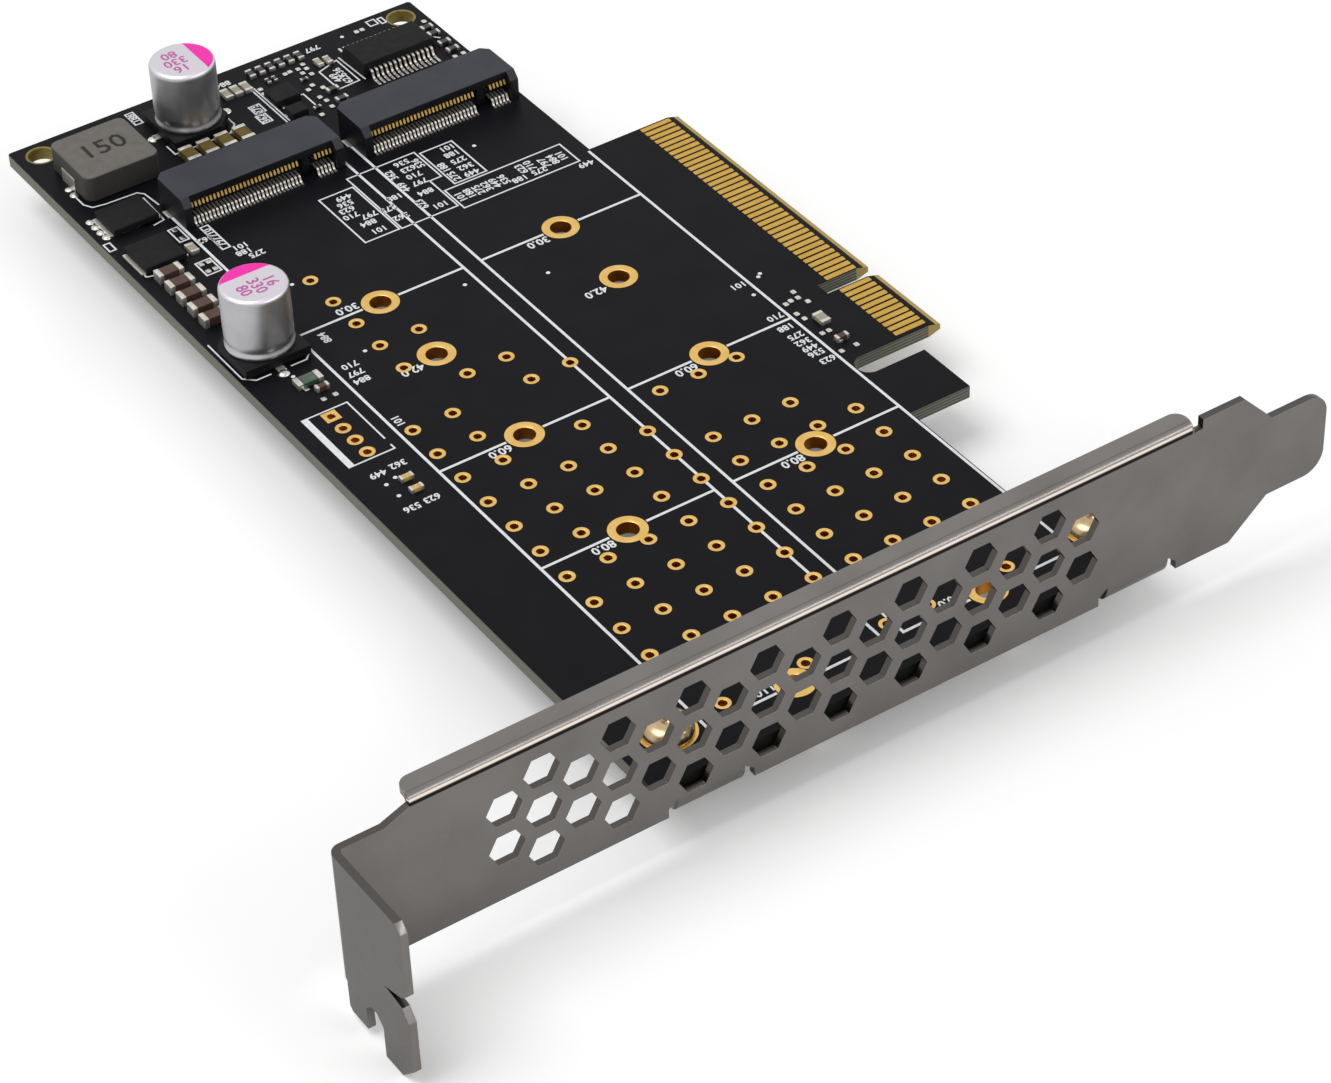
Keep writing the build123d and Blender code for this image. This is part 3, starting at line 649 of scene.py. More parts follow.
def show(name: str, shape: Shape, finish: Finish, *nodes: str, angle: float = 32.0) -> None:
    """Puts a shape in the scene as a smooth piece of the card, its wide faces kept flat.

    Args:
        name: The piece's name.
        shape: Its shape.
        finish: Its finish.
        nodes: CAD nodes that it stands for.
        angle: Edges sharper than this many degrees stay sharp.
    """
    mesh = shape.mesh(name)
    mesh.shade_smooth()
    mesh.set_sharp_from_angle(angle=math.radians(angle))
    mesh = baked(mesh, "WEIGHTED_NORMAL", keep_sharp=True, weight=90)
    mesh.materials.clear()
    mesh.materials.append(finish.material())
    made = put(name, mesh)
    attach(made, BODY)
    if nodes:
        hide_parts(*nodes)
    log.info("piece %s: %d faces", name, len(mesh.polygons))


def cad_shape(node: str) -> Shape:
    """A merged copy of a CAD node, in millimetres."""
    work = bmesh.new()
    work.from_mesh(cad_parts[node].data)
    bmesh.ops.remove_doubles(work, verts=work.verts, dist=1e-6)
    bmesh.ops.dissolve_limit(work, angle_limit=math.radians(0.5), verts=work.verts, edges=work.edges)
    return worked_shape(work, MM)


def dress(node: str, finish: Finish, edge: float, steps: int = 2, name: str = "") -> None:
    """Shows a CAD node with its edges rounded.

    Args:
        node: The CAD node.
        finish: Its finish.
        edge: Width of the round in mm.
        steps: Faces across the round.
        name: The piece's name, where it isn't the node's with _dressed behind it.
    """
    show(name or node + "_dressed", cad_shape(node).rounded(edge, steps), finish, node)


class Repeat(Enum):
    """What a tree repeats its piece over, with the inputs that are its own."""

    ALONG_LINE = (("Count", "NodeSocketInt"), ("Step", "NodeSocketVector"))
    ON_POINTS = (("Pattern", "NodeSocketObject"), ("Size", "NodeSocketFloat"))

    def tree(self) -> Tree:
        """Builds the tree once: its own piece along a line, or a pattern piece on its own points.

        Returns:
            The tree, with the inputs Geometry and Finish besides its own.
        """
        name = "repeat_" + self.name.lower()
        if name in bpy.data.node_groups:
            return bpy.data.node_groups[name]
        tree = bpy.data.node_groups.new(name, "GeometryNodeTree")
        for label, kind in (("Geometry", "NodeSocketGeometry"), *self.value, ("Finish", "NodeSocketMaterial")):
            tree.interface.new_socket(label, in_out="INPUT", socket_type=kind)
        tree.interface.new_socket("Geometry", in_out="OUTPUT", socket_type="NodeSocketGeometry")
        given = add_node(tree, "NodeGroupInput").outputs
        if self is Repeat.ALONG_LINE:
            line = add_node(tree, "GeometryNodeMeshLine",
                            {"Count": given["Count"], "Start Location": (0.0, 0.0, 0.0), "Offset": given["Step"]})
            places = {"Points": line.outputs[0], "Instance": given["Geometry"]}
        else:
            pattern = add_node(tree, "GeometryNodeObjectInfo", {"Object": given["Pattern"]})
            places = {"Points": given["Geometry"], "Instance": pattern.outputs["Geometry"], "Scale": given["Size"]}
        copies = add_node(tree, "GeometryNodeInstanceOnPoints", places)
        plain = add_node(tree, "GeometryNodeRealizeInstances", {0: copies.outputs[0]})
        dressed = add_node(tree, "GeometryNodeSetMaterial", {"Geometry": plain.outputs[0],
                                                             "Material": given["Finish"]})
        add_node(tree, "NodeGroupOutput", {0: dressed.outputs[0]})
        return tree


def in_row(shape: Shape, count: int, pitch: Spot, finish: Finish) -> Shape:
    """Repeats a shape along a line with Geometry Nodes.

    Args:
        shape: The shape at the first place.
        count: How many there are.
        pitch: The step between two neighbours, in mm.
        finish: The finish set in the tree.

    Returns:
        All the copies as one shape.
    """
    inputs = {"Count": count, "Step": tuple(p * MM for p in pitch), "Finish": finish.material()}
    return baked_shape(shape.mesh("row"), "NODES", node_group=Repeat.ALONG_LINE.tree(), inputs=inputs)


def on_points(shape: Shape, spots: Iterable[Flat], finish: Finish, size: float = 1.0) -> Shape:
    """Puts a shape on each spot of the board's face with Geometry Nodes.

    Args:
        shape: The pattern round the origin.
        spots: The places in mm.
        finish: The finish set in the tree.
        size: Scale of every copy.

    Returns:
        All the copies as one shape.
    """
    pattern = put("pattern", shape.mesh("pattern"))
    cloud = bpy.data.meshes.new("spots")
    cloud.from_pydata([Vector((*s, 0.0)) * MM for s in spots], [], [])
    inputs = {"Pattern": pattern, "Size": size, "Finish": finish.material()}
    result = baked_shape(cloud, "NODES", node_group=Repeat.ON_POINTS.tree(), inputs=inputs)
    bpy.data.objects.remove(pattern)
    return result


@dataclass
class Board:
    """The laminate board with its holes, pads and edge contacts.

    Attributes:
        thickness: Board thickness.
        rows: Rows of standoff holes along Y.
        long_row: The row of the longest module, behind the bracket.
        hole: Radius of the standoff holes.
        ring: Outer radius of their rings.
        rear_holes: Middles of the two rear holes.
        rear_hole: Their radius.
        rear_ring: Outer radius of their dull rings.
        wall: How far the plating's outside and inside lie within the holes.
        rise: Height of the standoff, rear hole, via and square pads above the board.
        drill: Upper and lower end of the drill.
        via_pad: Outer radius of the vias' pads.
        via_hole: Radius inside their plating.
        via_wall: Thickness of their plating.
        via_pitch: Pitch of the via field.
        via_start: First via of the field.
        via_rows: The columns that each row of the field has.
        front_start: First via behind the bracket.
        front_columns: The columns that this row has.
        header: Middle of the header's holes.
        header_count: How many there are.
        header_pitch: Their pitch.
        square: Half the side and the line width of the last hole's square pad.
        screw_pad: Inner and outer radius of the pads round the screws.
        contact: Length, width and thickness of an edge contact.
        contact_x: Middle of the contacts along X.
        contact_pitch: Their pitch.
        runs: First place, count and direction of each run of contacts.
    """

    thickness: float = 1.57
    rows: tuple[float, ...] = (0.0, 20.0, 38.0, 50.0)
    long_row: float = -30.0
    hole: float = 1.3
    ring: float = 2.2
    rear_holes: Flats = ((-29.2, 99.35), (20.7, 99.35))
    rear_hole: float = 1.6
    rear_ring: float = 1.86
    wall: Flat = (0.01, 0.04)
    rise: tuple[float, ...] = (0.05, 0.03, 0.035, 0.04)
    drill: Flat = (1.0, -3.0)
    via_pad: float = 0.9
    via_hole: float = 0.46
    via_wall: float = 0.005
    via_pitch: float = 5.08
    via_start: Flat = (-21.41, -17.87)
    via_rows: tuple[tuple[int, ...], ...] = (
        *(tuple(range(9)),) * 4, (0, 1, 3, 4, 5, 6, 7, 8), tuple(range(8)), tuple(range(5)), (0, 1, 3, 5, 6, 7),
        (0, 1), (0, 1, 3, 4), (2, 3), (1,), (1, 2), (1,), (1,), (1,))
    front_start: Flat = (-19.65, -28.2)
    front_columns: tuple[int, ...] = (0, 2, 3, 4, 5, 7)
    header: Flat = (-27.3, 31.4)
    header_count: int = 4
    header_pitch: float = 2.54
    square: Flat = (0.66, 0.48)
    screw_pad: Flat = (1.62, 3.1)
    contact: Spot = (4.1, 0.7, 0.04)
    contact_x: float = 32.55
    contact_pitch: float = 1.0
    runs: tuple[tuple[float, int, int], ...] = ((20.7, 11, -1), (23.7, 38, 1))

    def build(self) -> None:
        """Builds and dresses everything that belongs to the bare board."""
        show("board", self.drilled(cad_shape("pcb").rounded(0.04, 1)), MASK, "pcb")
        self.standoff_rings()
        self.vias()
        self.contacts()

    def long_holes(self) -> list[Flat]:
        """Standoff holes of the longest module."""
        return [(x, self.long_row) for x in LANES]

    def front_vias(self) -> list[Flat]:
        """Vias behind the bracket."""
        x, y = self.front_start
        return [(x + self.via_pitch * i, y) for i in self.front_columns]

    def drilled(self, board: Shape) -> Shape:
        """Drills the holes of the longest module's row and of the vias beside it."""
        pins = Shape()
        top, low = self.drill
        for radius, spots in ((self.hole, self.long_holes()), (self.via_hole + self.via_wall, self.front_vias())):
            pins.take(on_points(lathe([(0.0, top), (radius, top), (radius, low), (0.0, low)]), spots, MASK))
        drill = put("drill", pins.mesh("drill"))
        result = baked_shape(board.mesh("board"), "BOOLEAN", object=drill, operation="DIFFERENCE", solver="EXACT")
        bpy.data.objects.remove(drill)
        return result

    def collar(self, outer: float, inner: float, barrel: float, rise: float) -> Shape:
        """A pad round a hole on both faces; the plated wall joins them.

        Args:
            outer: Outer radius of the pad.
            inner: Radius inside the plating.
            barrel: Radius of the drilled hole that the plating lines.
            rise: Height of the pad above the board.

        Returns:
            The collar round the origin.
        """
        low = -self.thickness
        half = [(outer, 0.0), (outer, rise * 0.6), (outer - 0.06, rise), (inner + 0.1, rise), (inner, rise - 0.06)]
        mirrored = [(r, low - z) for r, z in reversed(half)]
        return lathe(half + mirrored + [(barrel, low), (barrel, 0.0)], closed=True)

    def standoff_rings(self) -> None:
        """Gold rings of the standoff and rear holes."""
        spots = [(x, y) for x in LANES for y in self.rows] + self.long_holes()
        gap, inside = self.wall
        collar = self.collar(self.ring, self.hole - inside, self.hole - gap, self.rise[0])
        show("standoff_collars", on_points(collar, spots, GOLD), GOLD, "standoff_rings")
        rear = self.collar(self.rear_ring, self.rear_hole - inside, self.rear_hole - gap, self.rise[1])
        # Painted shade: the rear holes' collars take the darker hole gold.
        show("rear_hole_collars", on_points(rear, self.rear_holes, BARREL), BARREL)

    def via_spots(self) -> list[Flat]:
        """Places of the ground vias."""
        x, y = self.via_start
        field_spots = [(x + i * self.via_pitch, y + j * self.via_pitch)
                       for j, row in enumerate(self.via_rows) for i in row]
        return field_spots + self.front_vias()

    def vias(self) -> None:
        """Gold collars of the vias and the header's holes, and the screw pads."""
        via = self.collar(self.via_pad, self.via_hole, self.via_hole + self.via_wall, self.rise[2])
        show("via_collars", on_points(via, self.via_spots(), GOLD), GOLD)
        x, y = self.header
        header = [(x, y + (i - (self.header_count - 1) / 2) * self.header_pitch) for i in range(self.header_count)]
        pads = on_points(via, header, GOLD)
        half, line = self.square
        last = header[-1][1]
        square = corners(x - half, last - half, x + half, last + half)
        pads.take(ribbon(square, line, 0.0, self.rise[3], closed=True))
        show("header_pads", pads, GOLD)
        inner, outer = self.screw_pad
        pad = lathe([(outer, 0.0), (outer, 0.02), (outer - 0.06, 0.03), (inner, 0.03), (inner, 0.0)], closed=True)
        show("screw_pads", on_points(pad, SCREWS, GOLD), GOLD)

    def contacts(self) -> None:
        """Edge contacts on both faces, each a thin plate with round corners."""
        length, width, thick = self.contact
        plate = prism(rounded_outline(length, width, 0.12), 0.0, thick).rounded(0.012, 1)
        for name, low in (("top", 0.0), ("bottom", -self.thickness - thick)):
            row = Shape()
            for start, count, way in self.runs:
                first = plate.placed((self.contact_x, start, low))
                row.take(in_row(first, count, (0.0, way * self.contact_pitch, 0.0), FINGER))
            label = "edge_contacts_" + name
            show(label + "_plated", row, FINGER, label)


@dataclass
class BoardPrint:
    """White lines, boxes and plain numbers on the component face, and its bare solder pads.

    Attributes:
        line: Width of the lane lines.
        thin: Width of the box lines.
        rise: Thickness of the ink.
        lanes: Left and right line of each lane.
        tops: Where these lines end.
        bottom: Where the lanes end at the bracket.
        crossings: Module lengths that have a line across the lanes.
        opening: Half the opening of these lines at the standoff holes.
        lengths: Module lengths and the rows that they belong to.
        beside: Place of a length beside its standoff hole.
        lifted: How much higher the left lane's first length stands.
        figures: Height of the lengths and of the small numbers.
        boxes: Rectangular outlines, from one corner to the opposite one.
        outlines: Other closed outlines.
        routes: Open lines.
        header_bar: The thick line beside the header, and its width.
        across: Places of the numbers that read along X.
        along: Places of the numbers that read along Y.
        dots: Places of the round dots.
        dot: Their width.
        pads: Places of the tinned pads.
    """

    line: float = 0.34
    thin: float = 0.2
    rise: float = 0.02
    lanes: Flats = ((-22.95, -1.05), (1.25, 23.2))
    tops: Flats = ((80.0, 76.7), (80.0, 61.0))
    bottom: float = -30.2
    crossings: tuple[float, ...] = (0.0, 20.0, 50.0)
    opening: float = 2.35
    lengths: tuple[tuple[str, float], ...] = (
        ("30.0", 50.0), ("42.0", 38.0), ("60.0", 20.0), ("80.0", 0.0), ("110.0", -28.1))
    beside: Flat = (-3.7, -0.95)
    lifted: float = 2.1
    figures: Flat = (1.65, 1.35)
    boxes: tuple[tuple[float, ...], ...] = (
        (7.0, 72.6, 11.4, 64.8), (5.3, 64.3, 21.25, 59.95), (-7.5, 71.4, -2.95, 60.9), (-21.35, 74.9, -20.35, 69.6),
        (-32.0, 78.6, -31.2, 77.0), (-17.1, 100.9, -16.1, 98.2), (16.7, 101.1, 17.8, 99.9),
        (18.2, 100.9, 18.8, 99.6), (-24.6, 76.7, -23.4, 73.8), (-25.3, 69.0, -23.4, 66.2), (-4.4, 93.3, -3.0, 91.5),
        (-4.7, 91.1, -3.4, 89.2))
    outlines: tuple[Flats, ...] = (
        ((-2.65, 73.2), (6.55, 73.2), (6.55, 67.05), (4.95, 67.05), (4.95, 60.8), (-2.65, 60.8)),
        ((6.4, 94.9), (9.4, 95.9), (9.4, 90.4), (6.4, 90.2)))
    routes: tuple[Flats, ...] = (
        ((-24.6, 28.4), (-24.6, 36.4), (-29.6, 36.4)), ((-29.6, 26.35), (-24.6, 26.35), (-24.6, 27.2)),
        ((-31.75, 54.6), (-31.75, 46.9), (-30.6, 45.75), (-28.7, 45.75)),
        ((-26.2, 45.75), (-24.2, 45.75), (-23.1, 46.9), (-23.1, 47.9)),
        ((-16.3, 92.0), (-16.3, 89.9), (-8.8, 89.9), (-7.5, 91.2), (-7.5, 93.2)),
        ((-7.5, 95.3), (-7.5, 97.4), (-8.8, 98.7), (-13.0, 98.7)),
        ((-30.0, 89.4), (-30.0, 87.2), (-29.4, 86.1), (-27.9, 85.8), (-23.8, 85.6), (-23.2, 84.9), (-22.9, 81.9)),
        ((-23.7, 84.3), (-23.9, 78.9), (-25.4, 78.6)), ((-31.0, 74.2), (-31.0, 70.1), (-29.9, 69.8)),
        ((-2.2, 87.8), (-2.2, 96.2)), ((-1.8, 87.9), (-1.8, 96.6)), ((9.9, 96.3), (10.1, 90.2)),
        ((19.9, 97.7), (21.0, 96.5), (20.9, 94.3), (22.2, 92.5)), ((0.6, 91.9), (2.4, 91.9), (2.4, 89.0)))
    header_bar: tuple[Flats, float] = (((-30.0, 36.5), (-30.0, 26.25)), 0.8)
    across: Flats = (
        (10.2, 71.7), (10.0, 70.3), (9.9, 68.7), (9.9, 67.1), (9.8, 65.6), (4.2, 72.2), (4.2, 70.7), (4.1, 69.2),
        (3.9, 67.6), (3.4, 65.5), (3.4, 62.2), (-0.1, 66.7), (-1.9, 65.1), (-1.5, 62.9), (-4.9, 70.2),
        (-5.4, 69.0), (-5.9, 67.8), (-6.1, 66.5), (-4.3, 65.4), (-5.2, 64.1), (-4.9, 62.2), (13.65, 61.1),
        (16.3, 61.1), (-25.8, 23.8), (-28.4, 23.6), (-28.4, 16.6), (-25.9, 16.7), (-20.9, 42.0), (-21.1, 40.4),
        (-21.2, 38.9), (21.9, 28.5), (21.6, 18.9), (21.6, 17.0), (21.6, 15.6), (21.6, 14.3), (21.6, 13.1),
        (21.9, 11.4), (21.8, 21.2), (8.3, 99.9), (-4.4, 99.6), (-19.4, 69.0), (-19.6, 67.8), (-18.6, 66.6),
        (-22.0, 72.6), (21.5, 59.0))
    along: Flats = (
        (6.2, 62.1), (7.4, 62.1), (8.6, 62.1), (9.75, 62.1), (10.9, 62.1), (12.1, 62.1), (14.9, 62.7),
        (16.1, 62.7), (17.75, 62.1), (18.95, 62.1), (20.15, 62.1), (7.8, 68.4), (7.8, 66.2), (2.0, 70.7),
        (1.9, 67.8), (5.8, 71.0), (1.8, 63.6), (-20.85, 73.3), (-20.85, 71.2), (-20.5, 48.0), (-21.8, 30.2),
        (-16.6, 99.6), (-3.7, 92.4), (-4.05, 90.2), (7.4, 92.6), (8.4, 93.4), (8.3, 91.6))
    dots: Flats = (
        (13.0, 70.1), (-2.7, 47.1), (24.7, 28.5), (25.2, 28.9), (12.65, 100.0), (-18.4, 58.9), (22.3, 26.0),
        (-27.0, 43.9), (-27.2, 22.0), (-28.6, 21.5), (-28.5, 19.1), (-18.2, 43.2), (6.1, 43.4))
    dot: float = 0.5
    pads: Flats = (
        (2.8, 96.9), (3.5, 97.0), (4.6, 96.9), (4.6, 95.8), (5.5, 96.4), (5.4, 95.0), (5.6, 97.5), (4.2, 92.8),
        (3.3, 92.2), (5.0, 91.6), (3.6, 90.0), (3.9, 88.9), (3.8, 87.4), (1.9, 86.6), (-1.4, 94.7), (-1.5, 93.3),
        (-1.3, 95.8), (-1.4, 89.0), (-0.9, 90.7), (-24.0, 76.2), (-24.0, 74.3), (-24.8, 68.4), (-24.8, 66.8),
        (-23.9, 68.4), (-23.9, 66.8), (-27.0, 41.0), (-26.4, 38.3), (-24.9, 38.3), (26.1, 23.7), (25.9, 22.5),
        (24.9, 22.5), (24.1, 22.3), (26.4, 21.3), (24.0, 20.1), (24.2, 18.9), (24.2, 15.5), (25.1, 15.5),
        (26.0, 11.6), (24.0, 11.6), (21.4, 87.8), (22.6, 87.8), (22.5, 96.8), (14.6, 99.8), (15.4, 99.8))

    def stroke(self, route: Iterable[Flat], width: float = 0.0, closed: bool = False) -> Shape:
        """One printed line along a route."""
        return ribbon(list(route), width or self.thin, 0.0, self.rise, closed)

    def build(self) -> None:
        """Prints everything and lays the pads."""
        show("printed_lane_lines", self.lane_lines(), INK)
        prints = Shape()
        for box in (*self.outlines, *(corners(*b) for b in self.boxes)):
            prints.take(self.stroke(box, closed=True))
        for route in self.routes:
            prints.take(self.stroke(route))
        prints.take(self.stroke(*self.header_bar))
        show("printed_outlines", prints, INK)
        show("printed_numbers", self.numbers(), INK)
        dot = prism(rounded_outline(self.dot, self.dot, self.dot * 0.48), 0.0, self.rise)
        show("printed_dots", on_points(dot, self.dots, INK), INK)
        pad = prism(rounded_outline(0.62, 0.7, 0.16), 0.0, 0.14).rounded(0.06, 2)
        show("tinned_pads", on_points(pad, self.pads, SOLDER), SOLDER)

    def lane_lines(self) -> Shape:
        """The two lanes and their cross lines, which open at the standoff holes."""
        result = Shape()
        half = self.line / 2
        for middle, sides, tops in zip(LANES, self.lanes, self.tops):
            for y, out in ((self.bottom, half), *((y, -half) for y in self.crossings)):
                for x, way in zip(sides, (-1, 1)):
                    ends = [(x + way * out, y), (middle + way * self.opening, y)]
                    result.take(self.stroke(ends, self.line))
            for x, top in zip(sides, tops):
                result.take(self.side_line(x, self.bottom + half, top))
        return result

    def side_line(self, x: float, low: float, high: float) -> Shape:
        """A lane's side line, open where a via takes its place."""
        board = Board()
        reach = board.via_pad - 0.05
        stops = sorted(y for via, y in board.via_spots() if abs(via - x) < board.via_pad and low < y < high)
        result = Shape()
        for stop in (*stops, high + reach):
            result.take(self.stroke(((x, low), (x, stop - reach)), self.line))
            low = stop + reach
        return result

    def numbers(self) -> Shape:
        """Module lengths beside the standoff holes, and the small numbers of the parts."""
        result = Shape()
        large, small = self.figures
        x, y = self.beside
        for text, row in self.lengths:
            figure = numerals(text, large, self.rise)
            for middle in LANES:
                lift = self.lifted if (middle, row) == (LANES[0], self.lengths[0][1]) else 0.0
                result.take(figure.placed((middle + x, row + y + lift, self.rise / 2), 180.0))
        marks = [numerals(str(101 + 87 * i), small, self.rise) for i in range(10)]
        for turn, spots in ((180.0, self.across), (90.0, self.along)):
            for i, spot in enumerate(spots):
                result.take(marks[i % len(marks)].placed((*spot, self.rise / 2), turn))
        return result


@dataclass
class Bracket:
    """The folded sheet bracket and its two screws.

    Attributes:
        edge: Round on the cut edges.
        columns: Columns of vents.
        pitch: Distance between neighbouring vents.
        vents: Middle of the vents along X and Z.
        vent_reach: Radius round a vent's middle that holds all its corners.
        drawn_in: Size of the vents against the CAD model, since the punched rims are drawn in.
        bend_middle: Middle of the ears' bends along Y and Z.
        ear_half: Half the width of an ear.
        joggle: How far the ears' bends hang below the flat of the ears.
        slit_far: Distance of the far side of the relief slits from the screw.
        slit_shallow: How far the far corner of a slit comes down.
        near: How close a corner lies to where it is looked for.
        head: Radius of the screw heads.
        height: Height of the heads.
        shank: Radius of the thread.
        length: Length of the screws with their heads.
        turns: Turns of the thread.
    """

    edge: float = 0.1
    columns: int = 17
    pitch: float = 5.0
    vents: Flat = (-15.15, 5.75)
    vent_reach: float = 2.5
    drawn_in: float = 0.9
    bend_middle: Flat = (-34.74, -1.17)
    ear_half: float = 4.0
    joggle: float = 0.95
    slit_far: float = 5.1
    slit_shallow: float = 0.9
    near: float = 0.01
    head: float = 2.75
    height: float = 1.7
    shank: float = 1.5
    length: float = 3.6
    turns: int = 5

    def build(self) -> None:
        """Dresses the bracket and builds the screws."""
        show("folded_bracket", self.plate().rounded(self.edge, 2), SHEET, "bracket", angle=40.0)
        show("pan_head_screws", on_points(self.screw(), SCREWS, SCREW), SCREW, "bracket_screws", angle=40.0)

    def plate(self) -> Shape:
        """The folded sheet, with the rims of its vents drawn in.

        Its ears are joggled down to the plate's edge.
        """
        result = cad_shape("bracket")
        back, low = self.bend_middle
        for point in result.points:
            for x, _ in SCREWS:
                off = abs(point.x - x)
                below = low - point.z
                if off < self.ear_half + self.near and point.y < back + self.near and below > self.near / 10:
                    point.z -= self.joggle * below / math.hypot(point.y - back, below)
                elif abs(off - self.slit_far) < self.near and point.y < back and abs(below) < self.near / 2:
                    point.z -= self.slit_shallow
        plate = [p for p in result.points if p.y < SHEET.face + SHEET.thick + self.near]
        for i in range(self.columns):
            count = 3 if i % 2 else 2
            x = self.vents[0] + (i - (self.columns - 1) / 2) * self.pitch * math.cos(math.radians(30))
            for j in range(count):
                z = self.vents[1] + (j - (count - 1) / 2) * self.pitch
                for point in plate:
                    if math.dist((x, z), (point.x, point.z)) < self.vent_reach:
                        point.x = x + (point.x - x) * self.drawn_in
                        point.z = z + (point.z - z) * self.drawn_in
        return result

    def screw(self) -> Shape:
        """A pan head screw with a recess and a threaded shank."""
        top, head, shank = self.height, self.head, self.shank
        profile = [(0.0, top - 0.75), (0.35, top - 0.6), (0.75, top - 0.05), (0.95, top), (1.6, top - 0.06),
                   (2.2, top - 0.3), (2.6, top - 0.75), (head, 0.5), (head, 0.08), (head - 0.08, 0.0), (shank, 0.0)]
        depth = top - self.length
        for i in range(self.turns):
            z = depth * (i + 0.2) / self.turns
            profile += [(shank, z), (shank - 0.18, z + depth * 0.4 / self.turns)]
        profile += [(shank - 0.2, depth + 0.1), (shank - 0.4, depth), (0.0, depth)]
        return lathe(profile, 36)


@dataclass
class ModuleSocket:
    """One edge socket for a module: housing and two rows of contacts.

    Attributes:
        name: Side of the board.
        middle: Middle of the socket along X.
        pitch: Contact pitch.
        runs: First place and count of each run of contacts.
        places: Places in a row, the key's included.
        strips: Route, thickness, width and finish of each row's contacts.
    """

    name: str
    middle: float
    pitch: float = 0.5
    runs: tuple[tuple[int, int], ...] = ((0, 29), (33, 5))
    places: int = 38
    strips: tuple[tuple[str, Flats, float, float, Finish], ...] = (
        ("upper", ((76.2, 2.2), (76.26, 2.18), (76.46, 2.66), (76.6, 2.72), (79.6, 2.72)), 0.12, 0.24, SPRING),
        ("lower", ((75.24, 0.09), (75.74, 0.1), (75.88, 0.28), (75.97, 0.7), (76.12, 0.84), (77.1, 0.92),
                   (79.6, 0.95)), 0.14, 0.26, TIN))

    def build(self) -> None:
        """Dresses the housing and builds the contacts."""
        node = "socket_%s_housing" % self.name
        dress(node, NYLON, 0.1, name=node + "_moulded")
        first = self.middle - (self.places - 1) * self.pitch / 2
        for kind, route, thick, wide, finish in self.strips:
            strip = bent_strip(list(route), thick, wide)
            row = Shape()
            for place, count in self.runs:
                start = strip.placed((first + place * self.pitch, 0.0, 0.0))
                row.take(in_row(start, count, (self.pitch, 0.0, 0.0), finish))
            label = "socket_%s_%s_contacts" % (self.name, kind)
            show(label + "_formed", row, finish, label)


@dataclass
class Capacitor:
    """A polymer capacitor: turned can with a printed top, chamfered base and leads.

    Attributes:
        number: Which capacitor it is.
        center: Its middle.
        marked: Direction of the printed segment in degrees.
        radius: Radius of the can.
        top: Height of the can's top.
        low: Height of the can's lower lip.
        value: The printed numerals, line by line.
        figure: Height of the numerals.
        first: Place of the first line.
        spacing: Distance between the lines.
        ink: Height of the print's middle above the top, and its thickness.
    """

    number: int
    center: Flat
    marked: float
    radius: float = 4.0
    top: float = 9.3
    low: float = 1.3
    value: tuple[str, ...] = ("16", "330", "80")
    figure: float = 2.0
    first: Flat = (-0.85, -1.65)
    spacing: float = 1.65
    ink: Flat = (0.004, 0.01)

    def build(self) -> None:
        """Builds the can and its print, and dresses the base and the leads."""
        name = "capacitor_%d" % self.number
        a = math.radians(self.marked)
        finish = PrintedCan("satin_aluminium_can_%d" % self.number, "c2c2c4", "b4b4b7", 0.4, metallic=1.0,
                            grain=0.4, depth=0.002, slot="can_aluminium", center=self.center,
                            toward=(math.cos(a), math.sin(a)))
        r, t = self.radius, self.top
        profile = [(0.0, t), (r - 0.62, t), (r - 0.38, t - 0.06), (r - 0.18, t - 0.2), (r - 0.07, t - 0.42),
                   (r - 0.04, t - 0.7), (r - 0.04, 3.2), (r - 0.07, 2.6), (r - 0.2, 2.25), (r - 0.2, 2.05),
                   (r - 0.05, 1.8), (r, 1.6), (r - 0.02, 1.42), (r - 0.12, self.low), (0.0, self.low)]
        middle = (*self.center, 0.0)
        show(name + "_turned_can", lathe(profile, 64).placed(middle), finish, name + "_can", angle=50.0)
        marks = Shape()
        above, thick = self.ink
        x, y = self.first
        for i, text in enumerate(self.value):
            marks.take(numerals(text, self.figure, thick).placed((x, y + self.spacing * i, t + above), 180.0))
        show(name + "_value", marks.placed(middle, self.marked), CAN_INK)
        dress(name + "_base", BASE, 0.12, name=name + "_moulded_base")
        dress(name + "_leads", TIN, 0.04, 1, name + "_tinned_leads")


@dataclass
class Inductor:
    """The pressed powder inductor and its side clips.

    Attributes:
        center: Its middle.
        size: Width, depth and height.
        corner: Radius of its upright corners.
        low: Height of its underside.
        edge: Round on its upper edges.
        value: The printed numerals.
        figure: Their height.
        ink: Height of the print's middle above the top, and its thickness.
        shift: How far the print stands off the middle along Y.
    """

    center: Flat = (-24.5, 91.6)
    size: Spot = (9.8, 9.5, 3.4)
    corner: float = 1.0
    low: float = 0.15
    edge: float = 0.22
    value: str = "150"
    figure: float = 4.0
    ink: Flat = (0.004, 0.01)
    shift: float = 0.2

    def build(self) -> None:
        """Builds the body and its value, and dresses the clips."""
        width, depth, height = self.size
        x, y = self.center
        body = prism(rounded_outline(width, depth, self.corner, 6), self.low, height).rounded(self.edge, 3, spare=1.0)
        show("inductor_pressed_body", body.placed((x, y, 0.0)), POWDER, "inductor_body", angle=45.0)
        above, thick = self.ink
        mark = numerals(self.value, self.figure, thick).placed((x, y + self.shift, height + above))
        show("inductor_value", mark, DARK_INK)
        dress("inductor_clips", TIN, 0.05, name="inductor_folded_clips")


@dataclass
class Chip:
    """A moulded part or its metal ends, dressed straight from the CAD node.

    Attributes:
        node: The CAD node.
        finish: Its finish.
        edge: Round on its edges.
    """

    node: str
    finish: Finish
    edge: float = 0.06

    def build(self) -> None:
        """Dresses the part."""
        dress(self.node, self.finish, self.edge)


